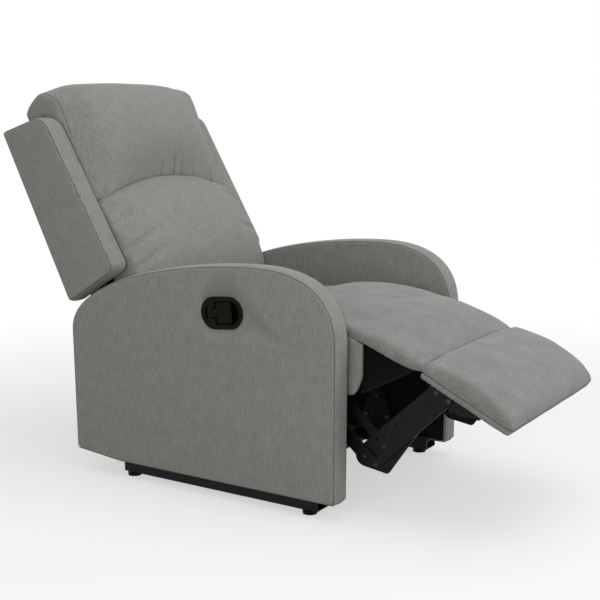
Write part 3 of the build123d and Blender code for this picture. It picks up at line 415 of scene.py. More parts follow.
@contextmanager
def edited(piece: Piece) -> Iterator[Mesh]:
    """A piece's mesh, open for changes that are then written back."""
    mesh = bmesh.new()
    mesh.from_mesh(piece.data)
    yield mesh
    mesh.to_mesh(piece.data)
    mesh.free()
    piece.data.update()


def close(piece: Piece) -> None:
    """Close the open ends of a piece with flat faces."""
    with edited(piece) as mesh:
        rims = [edge for edge in mesh.edges if edge.is_boundary]
        caps = bmesh.ops.holes_fill(mesh, edges=rims)["faces"]
        bmesh.ops.triangulate(mesh, faces=caps)
        bmesh.ops.recalc_face_normals(mesh, faces=mesh.faces)
    piece.data.shade_smooth()


def relax(piece: Piece, rounds: int) -> None:
    """Ease a piece's edges by smoothing its vertices."""
    with edited(piece) as mesh:
        for _ in range(rounds):
            bmesh.ops.smooth_vert(
                mesh, verts=mesh.verts, factor=0.5, use_axis_x=True, use_axis_y=True, use_axis_z=True
            )


def block(size: Sequence[float], centre: Sequence[float] = (0.0, 0.0, 0.0)) -> Mesh:
    """Make a box of a size about a centre."""
    mesh = bmesh.new()
    bmesh.ops.create_cube(mesh, size=1.0)
    bmesh.ops.scale(mesh, vec=size, verts=mesh.verts)
    bmesh.ops.translate(mesh, vec=centre, verts=mesh.verts)
    return mesh


def round_off(mesh: Mesh, edges: Sequence[Any], radius: float, steps: int) -> None:
    """Round edges of a mesh."""
    bmesh.ops.bevel(
        mesh, geom=edges, offset=radius, offset_type="OFFSET", segments=steps, profile=0.5, affect="EDGES",
        material=-1,
    )


def evened(piece: Piece, values: Array, rounds: int) -> Array:
    """Even out one value per vertex, which takes its neighbours' mean in each round."""
    ends = np.empty(2 * len(piece.data.edges), dtype=np.int32)
    piece.data.edges.foreach_get("vertices", ends)
    here = np.concatenate((ends[0::2], ends[1::2]))
    there = np.concatenate((ends[1::2], ends[0::2]))
    share = np.bincount(here, minlength=len(values))
    for _ in range(rounds):
        values = np.bincount(here, values[there], len(values)) / share
    return values


def stuff(piece: Piece, held: Array, pressure: float, sink: float, swell: float) -> None:
    """Swell a piece like filling under cloth.

    Args:
        piece: The piece, with an even skin.
        held: True for each vertex that stays put.
        pressure: Outward pressure of the filling.
        sink: The furthest that a vertex may move in.
        swell: The furthest that a vertex may move out.
    """
    before, outward = points_of(piece), normals_of(piece)
    group = piece.vertex_groups.new(name="held")
    group.add([int(index) for index in np.flatnonzero(held)], 1.0, "REPLACE")
    cloth = piece.modifiers.new("Stuffing", "CLOTH")
    cloth.settings.quality = CLOTH_QUALITY
    cloth.settings.mass = CLOTH_MASS
    cloth.settings.use_pressure = True
    cloth.settings.uniform_pressure_force = pressure
    cloth.settings.vertex_group_mass = group.name
    cloth.settings.effector_weights.gravity = 0.0
    cloth.collision_settings.use_collision = False
    cloth.point_cache.frame_start = 1
    cloth.point_cache.frame_end = SETTLE_FRAMES
    scene = bpy.context.scene
    for frame in range(1, SETTLE_FRAMES + 1):
        scene.frame_set(frame)
    graph = bpy.context.evaluated_depsgraph_get()
    after = points_of(piece.evaluated_get(graph))
    piece.modifiers.remove(cloth)
    piece.vertex_groups.clear()
    move = np.sum((after - before) * outward, axis=1)
    even = evened(piece, np.clip(move, -sink, swell), EVENING_ROUNDS)
    put_points(piece, before + outward * even[:, None])
    LOG.info("%s swells by %.1f mm", piece.name, 1000.0 * float(np.mean(move[~held])))
    scene.frame_set(1)


def line_shade_below(piece: Piece, shade_lining: Material, height: float, way: Triple) -> None:
    """Line the faces of a piece that look one way below a height with a dark finish, as painted shade, where
    it is cut level.
    """
    with edited(piece) as mesh:
        whole = mesh.verts[:] + mesh.edges[:] + mesh.faces[:]
        bmesh.ops.bisect_plane(mesh, geom=whole, plane_co=(0.0, 0.0, height), plane_no=(0.0, 0.0, 1.0))
        # Faces below the height that look the given way take the dark lining, which paints the shade there
        for face in mesh.faces:
            lined_and_shaded = face.normal.dot(Vector(way)) > 0.95 and face.calc_center_median().z < height
            face.material_index = len(piece.data.materials) if lined_and_shaded else face.material_index
    piece.data.materials.append(shade_lining)


def thread(name: str, paths: Sequence[Array], radius: float, closed: bool, finish: Material) -> Piece:
    """Lay thin round seams along paths.

    Args:
        name: The piece's name.
        paths: Points along each seam.
        radius: Half the seam's thickness.
        closed: Whether each seam runs back to its start.
        finish: Its material.

    Returns:
        One mesh with all the seams.
    """
    curve = bpy.data.curves.new(name, "CURVE")
    curve.dimensions = "3D"
    curve.bevel_depth = radius
    curve.bevel_resolution = 1
    curve.use_fill_caps = True
    for path in paths:
        spline = curve.splines.new("POLY")
        spline.points.add(len(path) - 1)
        for point, place in zip(spline.points, path):
            point.co = (*place, 1.0)
        spline.use_cyclic_u = closed
    drawn = bpy.data.objects.new(name, curve)
    data = bpy.data.meshes.new_from_object(drawn)
    bpy.data.objects.remove(drawn)
    bpy.data.curves.remove(curve)
    data.name = name
    data.shade_smooth()
    data.materials.clear()
    data.materials.append(finish)
    return shown(name, data)


def section(piece: Piece, origin: Triple, normal: Triple) -> list[Array]:
    """Cut a piece by a plane and return the outlines of the cut.

    Args:
        piece: The piece, which stays whole.
        origin: A point of the plane.
        normal: The plane's direction.

    Returns:
        The points of each closed outline, in order.
    """
    mesh = bmesh.new()
    mesh.from_mesh(piece.data)
    cut = bmesh.ops.bisect_plane(
        mesh, geom=mesh.verts[:] + mesh.edges[:] + mesh.faces[:], plane_co=origin, plane_no=normal
    )["geom_cut"]
    edges = {item for item in cut if isinstance(item, bmesh.types.BMEdge)}
    outlines = []
    while edges:
        edge = min(edges, key=lambda item: item.index)
        edges.discard(edge)
        start, tip = edge.verts
        path = [start, tip]
        while True:
            onward = [item for item in tip.link_edges if item in edges]
            if not onward:
                break
            edges.discard(onward[0])
            tip = onward[0].other_vert(tip)
            if tip is start:
                break
            path.append(tip)
        outlines.append(np.array([vert.co[:] for vert in path]))
    mesh.free()
    return outlines


def ease(values: Array, low: float, high: float) -> Array:
    """Smooth step from 0 at low to 1 at high."""
    share = np.clip((values - low) / (high - low), 0.0, 1.0)
    return share * share * (3.0 - 2.0 * share)


def swirl(places: Array, wave: float, seed: int) -> Array:
    """Soft uneven waves of a length, between about -1 and 1, one number for each point."""
    source = np.random.default_rng(seed)
    total = np.zeros(len(places))
    for _ in range(5):
        way = source.normal(size=3)
        way *= 2.0 * math.pi / (wave * source.uniform(0.7, 1.4) * np.linalg.norm(way))
        total += np.sin(places @ way + source.uniform(0.0, 2.0 * math.pi))
    return total / 3.0


@dataclass(frozen=True)
class Fold:
    """A soft crease that runs between two points of a pad's own plane."""

    start: Pair
    end: Pair
    depth: float
    width: float

    def press(self, across: Array, along: Array) -> Array:
        """How deep the crease presses at each point: most at its start, between two low ridges."""
        step = np.subtract(self.end, self.start)
        length = float(np.hypot(*step))
        share = ((across - self.start[0]) * step[0] + (along - self.start[1]) * step[1]) / length**2
        held = np.clip(share, 0.0, 1.0)
        off = np.hypot(across - self.start[0] - held * step[0], along - self.start[1] - held * step[1])
        valley = np.exp(-((off / self.width) ** 2)) - 0.4 * np.exp(-((off / self.width / 2.2) ** 2))
        return self.depth * (1.0 - held) ** 1.2 * valley


HEAD_FOLDS = tuple(Fold(*row) for row in (
    ((-0.018, 0.415), (-0.006, 0.505), 0.0150, 0.0048),
    ((0.038, 0.415), (0.040, 0.530), 0.0170, 0.0050),
    ((0.074, 0.415), (0.068, 0.515), 0.0150, 0.0055),
    ((0.120, 0.410), (0.116, 0.480), 0.0080, 0.0070),
    ((0.213, 0.390), (0.207, 0.460), 0.0140, 0.0055),
    ((-0.262, 0.370), (-0.200, 0.450), 0.0160, 0.0080),
    ((-0.150, 0.405), (-0.140, 0.455), 0.0060, 0.0090),
))
LUMBAR_FOLDS = tuple(Fold(*row) for row in (
    ((-0.264, 0.345), (-0.180, 0.375), 0.0130, 0.0090),
    ((-0.264, 0.305), (-0.160, 0.335), 0.0100, 0.0110),
    ((-0.262, 0.235), (-0.130, 0.285), 0.0120, 0.0120),
    ((-0.262, 0.180), (-0.150, 0.235), 0.0120, 0.0100),
    ((0.262, 0.230), (0.150, 0.275), 0.0090, 0.0120),
    ((0.262, 0.330), (0.180, 0.360), 0.0090, 0.0110),
))


@dataclass(frozen=True)
class Lean:
    """The reclined plane of the back, measured from its hinge."""

    hinge: Triple
    tilt: float = BACK_TILT

    def depth(self, places: Array) -> Array:
        """How far each point is behind the plane of the hinge."""
        return (np.array(self.hinge) - places) @ self.front

    def height(self, places: Array) -> Array:
        """How far each point is up the back."""
        return (places - np.array(self.hinge)) @ self.up

    def put(self, across: float, depth: float, height: float) -> Triple:
        """Place of a point of the back."""
        return tuple(np.array((across, *self.hinge[1:])) - depth * self.front + height * self.up)

    @property
    def front(self) -> Array:
        """Direction that the back faces."""
        return np.array((0.0, -math.cos(self.tilt), math.sin(self.tilt)))

    @property
    def up(self) -> Array:
        """Direction up the back."""
        return np.array((0.0, math.sin(self.tilt), math.cos(self.tilt)))


@dataclass
class Pad:
    """A stuffed piece that grows out of its solid, and rests on the frame behind its face."""

    name: str
    nodes: tuple[str, ...]
    body: str
    cloth: Material
    face: Sequence[float] = (0.0, 0.0, 1.0)
    voxel: float = 0.006
    rounding: int = 10
    sink: float = 0.001
    swell: float = 0.010
    pressure: float = 4.0
    fill: float = 0.7

    def shape(self, piece: Piece) -> None:
        """Press the sewn and worn forms into the stuffed piece."""

    def build(self, nodes: Mapping[str, Piece]) -> Piece:
        """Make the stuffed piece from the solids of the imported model."""
        mesh = bmesh.new()
        for node in self.nodes:
            mesh.from_mesh(nodes[node].data)
        bmesh.ops.remove_doubles(mesh, verts=mesh.verts, dist=1e-5)
        piece = piece_from(mesh, self.name, self.cloth)
        modify(piece, "REMESH", mode="VOXEL", voxel_size=self.voxel)
        piece.data.materials.clear()
        piece.data.materials.append(self.cloth)
        relax(piece, self.rounding)
        held = normals_of(piece) @ np.array(self.face) < RESTS_BELOW
        stuff(piece, held, self.pressure, self.sink, self.swell)
        relax(piece, 2)
        subdivide(piece)
        self.shape(piece)
        return piece


@dataclass
class BackPad(Pad):
    """A cushion of the back."""

    lean: Optional[Lean] = None
    half: float = 0.264
    crease_height: float = 0.428
    crease_arch: float = 0.046
    crown: float = 0.0
    roll: float = 0.018
    drop: float = 0.0
    rear_reach: float = 0.0
    lift: float = 0.0
    firm_share: float = -0.4
    spread: float = 0.006
    front_zone: Pair = (0.0, 0.080)
    rear_zone: Pair = (0.0, 0.040)
    roll_zone: Pair = (0.78, 1.0)
    spread_zone: Pair = (0.80, 0.98)
    crown_zone: Pair = (-0.03, 0.17)
    top_zone: Pair = (0.690, 0.735)
    rear_top: Pair = (0.63, 0.67)
    facing_zone: Pair = (-0.35, 0.25)
    lift_side: Pair = (0.04, 0.24)
    lift_zone: Pair = (-0.11, -0.015)
    drop_side: Pair = (0.66, 1.0)
    drop_zone: Pair = (0.640, 0.710)
    drop_least: float = 0.4
    hollow: float = 0.0012
    wave: float = 0.14
    seam_inset: float = 0.003
    seam_rise: float = 0.15
    seam_depth: float = -0.030
    seam_top: float = 0.690
    seam_radius: float = 0.0008
    folds: tuple[Fold, ...] = ()

    def crease(self, across: Array) -> Array:
        """Height of the crease between the two cushions."""
        return self.crease_height - self.crease_arch * np.minimum(1.0, (across / self.half) ** 2)

    def end_seams(self, piece: Piece, finish: Material) -> Piece:
        """Sew the boxing on both ends of the finished cushion."""
        paths = []
        for side in (-1, 1):
            end = (side * (self.half - self.seam_inset), 0.0, 0.0)
            ring = max(section(piece, end, (1.0, 0.0, 0.0)), key=len)
            depth, height = self.lean.depth(ring), self.lean.height(ring)
            ahead = (depth < self.seam_depth) | (height > self.seam_top)
            seen = (height > self.crease_height + self.seam_rise) & ahead
            start = int(np.flatnonzero(seen & ~np.roll(seen, 1))[0])
            turned = np.roll(ring, -start, axis=0)
            paths.append(turned[: int(np.argmin(np.append(np.roll(seen, -start), False)))])
        return thread(self.name + "_seams", paths, self.seam_radius, False, finish)

    def shape(self, piece: Piece) -> None:
        """Crown the middle, roll the ends back between the wings, and press the folds."""
        places, normals = points_of(piece), normals_of(piece)
        height = self.lean.height(places)
        ahead = ease(-self.lean.depth(places), *self.front_zone)
        reach = np.abs(places[:, 0]) / self.half
        worn = np.where(places[:, 0] < 0.0, 1.0, self.firm_share)
        shift = self.roll * worn * ease(reach, *self.roll_zone)
        over = height - self.crease(places[:, 0])
        full = (1.0 - reach**4) * (1.0 - ease(height, *self.top_zone))
        shift -= self.crown * full * ease(over, *self.crown_zone)
        behind = ease(self.lean.depth(places), *self.rear_zone) * ease(height, *self.rear_top)
        shift = shift * ahead + self.rear_reach * behind
        facing = ease(normals @ self.face, *self.facing_zone)
        depth = self.hollow * swirl(places, self.wave, 5)
        for fold in self.folds:
            depth += fold.press(places[:, 0], height)
        rise = self.lift * (1.0 + ease(places[:, 0], *self.lift_side)) * ease(over, *self.lift_zone) * ahead
        corner = ease(reach, *self.drop_side) * ease(height, *self.drop_zone)
        rise -= self.drop * np.maximum(worn, self.drop_least) * corner
        moved = places - (shift + depth * facing)[:, None] * self.face + rise[:, None] * self.lean.up
        moved[:, 0] += self.spread * np.sign(places[:, 0]) * ease(reach, *self.spread_zone)
        put_points(piece, moved)


@dataclass
class ChaiseSeat(Pad):
    """The long pad of the seat, which bends down to the footrest."""

    underside: Optional[Material] = None
    rim_drop: float = 0.008
    hollow: float = 0.0014
    wave: float = 0.16
    rim_zone: Pair = (0.205, 0.255)
    under_zone: Pair = (-0.1, 0.6)
    sag_start: Pair = (0.10, 0.25)
    sag_end: Pair = (0.44, 0.49)
    lined_facing: float = -0.85
    lined_half: float = 0.235

    def line(self, piece: Piece) -> None:
        """Line the faces that look away from the pad's face with the dark cloth, which on the seat pad is its
        dust cloth and also painted shade under it.
        """
        piece.data.materials.append(self.underside)
        for face in piece.data.polygons:
            away = face.normal.dot(Vector(self.face)) < self.lined_facing
            face.material_index = int(away and abs(face.center.x) < self.lined_half)

    def shape(self, piece: Piece) -> None:
        """Press soft hollows, let the side rims sag and line the underside."""
        places, normals = points_of(piece), normals_of(piece)
        rim = ease(np.abs(places[:, 0]), *self.rim_zone) * ease(-normals[:, 2], *self.under_zone)
        rim *= ease(-places[:, 1], *self.sag_start) * (1.0 - ease(-places[:, 1], *self.sag_end))
        places[:, 2] -= self.rim_drop * rim
        put_points(piece, places)
        hollows = self.hollow * swirl(places, self.wave, 11)
        put_points(piece, places - hollows[:, None] * normals_of(piece))
        self.line(piece)


@dataclass
class FootrestPad(ChaiseSeat):
    """The footrest's pad, wrapped round its board."""

    face: Triple = (0.0, -0.438371, 0.898794)
    toe: Triple = (0.0, -0.898794, -0.438371)
    heel: Triple = (0.0, -0.489322, 0.368151)
    length: float = 0.232
    heel_reach: float = 0.013
    toe_reach: float = 0.006
    toe_tuck: float = 0.006
    crown: float = 0.009
    skirt: float = 0.005
    rim_drop: float = 0.014
    hollow: float = 0.0008
    wave: float = 0.12
    border: float = 0.018
    end_zone: Pair = (0.002, 0.030)
    side_zone: Pair = (0.232, 0.260)
    low_end: float = 0.040
    crown_zone: Pair = (0.0, 0.110)
    crown_rise: Pair = (0.012, 0.036)
    crown_dip: float = 0.4
    toe_start: float = 0.150
    heel_zone: Pair = (0.0, 0.070)
    tuck_start: float = 0.190
    tuck_rise: Pair = (0.0, 0.030)
    skirt_zone: Pair = (0.220, 0.258)
    lined_facing: float = -0.75
    lined_half: float = 1.0
    border_depth: float = 0.0030
    border_width: float = 0.0055

    def shape(self, piece: Piece) -> None:
        """Wrap the rim under the board, draw in its seam and line the underside."""
        places, normals = points_of(piece), normals_of(piece)
        face, toe = np.array(self.face), np.array(self.toe)
        rise = (places - np.array(self.heel)) @ face
        along = (places - np.array(self.heel)) @ toe
        ends = 1.0 - ease(along, *self.end_zone) * ease(self.length - along, *self.end_zone)
        rim = np.maximum(ease(np.abs(places[:, 0]), *self.side_zone), ends)
        side = np.clip(1.5 - 2.0 * np.abs(normals @ face), 0.0, 1.0)
        groove = side * np.exp(-(((rise - self.border) / self.border_width) ** 2))
        low = 1.0 - ease(rise, self.border, self.low_end)
        lift = self.crown * (ease(along, *self.crown_zone) - self.crown_dip) * ease(rise, *self.crown_rise)
        places += (lift - self.rim_drop * rim * low)[:, None] * face
        stretch = self.toe_reach * ease(along, self.toe_start, self.length)
        stretch -= self.heel_reach * (1.0 - ease(along, *self.heel_zone))
        tucked = ease(along, self.tuck_start, self.length) * (1.0 - ease(rise, *self.tuck_rise))
        stretch -= self.toe_tuck * tucked
        places += stretch[:, None] * toe
        widen = self.skirt * (0.5 + 0.5 * low) * ease(np.abs(places[:, 0]), *self.skirt_zone)
        places[:, 0] += np.sign(places[:, 0]) * widen
        pressed = self.hollow * swirl(places, self.wave, 12) + self.border_depth * groove
        places -= pressed[:, None] * normals
        put_points(piece, places)
        self.line(piece)

    def seam(self, piece: Piece, finish: Material) -> Piece:
        """Sew the finished pad to its board all round."""
        origin = np.array(self.heel) + (self.border - self.rim_drop) * np.array(self.face)
        paths = section(piece, tuple(origin), self.face)
        return thread(self.name + "_seam", paths, 0.0011, True, finish)


@dataclass
class Facing(Pad):
    """The cloth ends of the apron, whose tops run up to the seat pad."""

    lift: float = 0.015
    tuck: float = 0.014
    ahead_zone: Pair = (0.292, 0.328)
    tuck_zone: Pair = (0.296, 0.350)
    lift_zone: Pair = (0.350, 0.415)
    ahead_share: float = 0.8

    def shape(self, piece: Piece) -> None:
        """Raise the tops, most where they meet the arms, and draw the feet in."""
        places = points_of(piece)
        ahead = ease(-places[:, 1], *self.ahead_zone)
        places[:, 1] += self.tuck * ahead * (1.0 - ease(places[:, 2], *self.tuck_zone))
        share = ease(places[:, 2], *self.lift_zone) * (1.0 - self.ahead_share * ahead)
        places[:, 2] += self.lift * share
        put_points(piece, places)


@dataclass
class BoxedPanel:
    """A padded board with flat faces and a crowned strip sewn round its edge."""

    name: str
    side: int
    cloth: Material
    seam: Material
    outer: float = 0.338
    width: float = 0.066
    sink: float = 0.0015
    seam_inset: float = 0.0050
    seam_depth: float = 0.0030
    seam_radius: float = 0.0008
    rings: tuple[Pair, ...] = (
        (0.0000, 0.0112), (0.0005, 0.0086), (0.0014, 0.0067), (0.0032, 0.0050),
        (0.0046, 0.0036), (0.0085, 0.0020), (0.0150, 0.0008), (0.0240, 0.0002),
    )

    def outline(self) -> Array:
        """Corners and curve points of the panel's edge, in its own plane."""
        raise NotImplementedError

    def put(self, across: float, point: Sequence[float]) -> Triple:
        """Place of a point of the panel's plane."""
        raise NotImplementedError

    def inset(self, outline: Array, distance: float) -> Array:
        """Draw the outline in by a distance, with mitred corners."""
        ahead = np.roll(outline, -1, axis=0) - outline
        ahead /= np.linalg.norm(ahead, axis=1, keepdims=True)
        inward = np.stack((-ahead[:, 1], ahead[:, 0]), axis=1)
        before = np.roll(inward, 1, axis=0)
        mitre = (inward + before) / (1.0 + np.sum(inward * before, axis=1, keepdims=True))
        return outline + distance * mitre

    def ring(self, outline: Array, across: float, distance: float) -> Array:
        """One ring of the skin, at a place across the panel."""
        return np.array([self.put(self.side * across, point) for point in self.inset(outline, distance)])

    def build(self) -> tuple[Piece, Piece]:
        """Make the padded panel, and the seams along its two edges."""
        outline = self.outline()
        middle = self.outer - self.width / 2
        half = self.width / 2 - self.sink
        offsets = [(half - drop, distance) for drop, distance in self.rings] + [(0.0, 0.0)]
        offsets += [(-across, distance) for across, distance in reversed(offsets[:-1])]
        rings = [self.ring(outline, middle + across, distance) for across, distance in offsets]
        mesh = bmesh.new()
        face = mesh.faces.new([mesh.verts.new(point) for point in rings[0]])
        for ring in rings[1:]:
            face = bmesh.ops.extrude_discrete_faces(mesh, faces=[face])["faces"][0]
            for vert, point in zip(face.verts, ring):
                vert.co = point
        bmesh.ops.delete(mesh, geom=[face], context="FACES_ONLY")
        bmesh.ops.recalc_face_normals(mesh, faces=mesh.faces)
        panel = piece_from(mesh, self.name, self.cloth)
        subdivide(panel)
        close(panel)
        edge = half - self.seam_depth
        paths = [self.ring(outline, middle + way * edge, self.seam_inset) for way in (1, -1)]
        seams = thread(self.name + "_seams", paths, self.seam_radius, True, self.seam)
        return panel, seams


@dataclass
class Arm(BoxedPanel):
    """A side of the chair: a tall board under a long curved top."""

    front: float = -0.3035
    length: float = 0.806
    bottom: float = 0.0398
    heel_setback: float = 0.655
    heel_rise: float = 0.014
    top: float = 0.590
    crown_setback: float = 0.220
    front_bend: float = 0.415
    rear_bend: float = 0.382
    front_fullness: float = 0.66
    rear_reach: float = 0.220
    rear_rise: float = 0.142
    clear: float = 0.022

    def outline(self) -> Array:
        """Edge of the arm, from its front foot along the bottom, up the rear and over the top."""
        rear = self.front + self.length
        heel = self.front + self.heel_setback
        crown = self.front + self.crown_setback
        rise = self.front_fullness * (self.top - self.front_bend)
        back = self.front_fullness * self.crown_setback
        peak = (crown, self.top)
        lead = ((self.front, self.front_bend), (self.front, self.front_bend + rise), (crown - back, self.top))
        trail = ((crown + self.rear_reach, self.top), (rear, self.rear_bend + self.rear_rise))
        bow = interpolate_bezier(*map(Vector, (*lead, peak)), 40)
        tail = interpolate_bezier(*map(Vector, (peak, *trail, (rear, self.rear_bend))), 64)
        lift = self.bottom + self.heel_rise
        runs = np.linspace(self.front + self.clear, heel, 34)
        slope = np.linspace(heel, rear - self.clear, 9)[1:]
        path = [(self.front, self.bottom)] + [(y, self.bottom) for y in runs]
        path += [(y, self.bottom + self.heel_rise * (y - heel) / (rear - heel)) for y in slope]
        path += [(rear, lift)] + [(rear, z) for z in np.linspace(lift + self.clear, self.rear_bend, 18)[:-1]]
        path += [point[:] for point in reversed(tail)] + [point[:] for point in reversed(bow)][1:]
        path += [(self.front, z) for z in np.linspace(self.front_bend, self.bottom + self.clear, 20)[1:]]
        return np.array(path)

    def put(self, across: float, point: Sequence[float]) -> Triple:
        """Place of a point of the arm's plane."""
        return (across, point[0], point[1])


@dataclass
class Wing(BoxedPanel):
    """A side of the back, boxed like the arms."""

    lean: Optional[Lean] = None
    low_front: Pair = (-0.090, 0.193)
    low_rear: Pair = (0.100, 0.177)
    top_rear: Pair = (0.092, 0.663)
    top_front: Pair = (-0.064, 0.636)
    low_radius: float = 0.024
    rear_radius: float = 0.012
    top_radius: float = 0.052
    pitch: float = 0.014

    def rounded(self, corner: Pair, before: Pair, after: Pair, radius: float, steps: int) -> list[Pair]:
        """Points of a rounded corner between two neighbours."""
        tip = Vector(corner)
        back = (Vector(before) - tip).normalized()
        ahead = (Vector(after) - tip).normalized()
        angle = back.angle(ahead)
        reach = radius / math.tan(angle / 2)
        centre = tip + (back + ahead).normalized() * (radius / math.sin(angle / 2))
        start = tip + back * reach - centre
        turn = math.pi - angle
        spin = 1.0 if back.x * ahead.y - back.y * ahead.x < 0 else -1.0
        shares = [spin * turn * step / steps for step in range(steps + 1)]
        return [tuple(centre + Matrix.Rotation(share, 2) @ start) for share in shares]

    def run(self, start: Pair, end: Pair) -> list[Pair]:
        """Evenly spaced points between two others."""
        step = Vector(end) - Vector(start)
        count = max(2, int(step.length / self.pitch))
        return [tuple(Vector(start) + step * (index / count)) for index in range(1, count)]

    def outline(self) -> Array:
        """Edge of the wing, anticlockwise from its low front corner."""
        corners = (self.low_front, self.low_rear, self.top_rear, self.top_front)
        radii = (self.low_radius, self.rear_radius, self.rear_radius, self.top_radius)
        turns = [
            self.rounded(corner, corners[index - 1], corners[(index + 1) % 4], radius, 8)
            for index, (corner, radius) in enumerate(zip(corners, radii))
        ]
        path = []
        for turn, onward in zip(turns, turns[1:] + turns[:1]):
            path += turn + self.run(turn[-1], onward[0])
        return np.array(path)

    def put(self, across: float, point: Sequence[float]) -> Triple:
        """Place of a point of the wing's plane."""
        return self.lean.put(across, point[0], point[1])


@dataclass
class HandleOpening:
    """The hole in the arm's outer face behind the handle's bezel."""

    centre: Triple = (-0.338, 0.0115, 0.472)
    span: Pair = (0.115, 0.071)
    depth: float = 0.040
    tilt: float = math.radians(5.0)

    def cut(self, arm: Piece) -> None:
        """Cut the opening through the arm's face."""
        mesh = block((2 * self.depth, *self.span))
        along = [edge for edge in mesh.edges if edge.verts[0].co.x * edge.verts[1].co.x < 0.0]
        round_off(mesh, along, 0.49 * self.span[1], 14)
        bmesh.ops.rotate(mesh, matrix=Matrix.Rotation(-self.tilt, 3, "X"), verts=mesh.verts)
        bmesh.ops.translate(mesh, vec=self.centre, verts=mesh.verts)
        bmesh.ops.recalc_face_normals(mesh, faces=mesh.faces)
        cutter = piece_from(mesh, "handle_opening")
        modify(arm, "BOOLEAN", operation="DIFFERENCE", object=cutter)
        bpy.data.objects.remove(cutter)


@dataclass
class OutsideBack:
    """The cloth panel behind the back, whose top rolls forward to the head cushion."""

    cloth: Material
    lean: Lean
    half: float = 0.268
    strips: int = 12
    profile: tuple[Pair, ...] = (
        (0.079, 0.064), (0.090, 0.064), (0.094, 0.110), (0.096, 0.350), (0.094, 0.600),
        (0.088, 0.640), (0.074, 0.660), (0.052, 0.664), (0.052, 0.656), (0.079, 0.645),
    )

    def build(self) -> Piece:
        """Make the panel."""
        mesh = bmesh.new()
        face = mesh.faces.new([mesh.verts.new(self.lean.put(-self.half, *pair)) for pair in self.profile])
        for _ in range(self.strips):
            face = bmesh.ops.extrude_discrete_faces(mesh, faces=[face])["faces"][0]
            bmesh.ops.translate(mesh, vec=(2 * self.half / self.strips, 0.0, 0.0), verts=face.verts)
        bmesh.ops.holes_fill(mesh, edges=[edge for edge in mesh.edges if edge.is_boundary])
        bmesh.ops.recalc_face_normals(mesh, faces=mesh.faces)
        piece = piece_from(mesh, "outside_back", self.cloth)
        subdivide(piece, 2)
        return piece


@dataclass
class RearPanel:
    """The cloth-wrapped board low between the arms at the rear."""

    cloth: Material
    edge_radius: float = 0.006

    def build(self) -> Piece:
        """Make the panel round its board."""
        low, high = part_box("rear_tie_board")
        mesh = block(high - low, (low + high) / 2)
        round_off(mesh, mesh.edges[:], self.edge_radius, 3)
        bmesh.ops.subdivide_edges(mesh, edges=mesh.edges, cuts=2, use_grid_fill=True)
        return piece_from(mesh, "rear_panel", self.cloth)


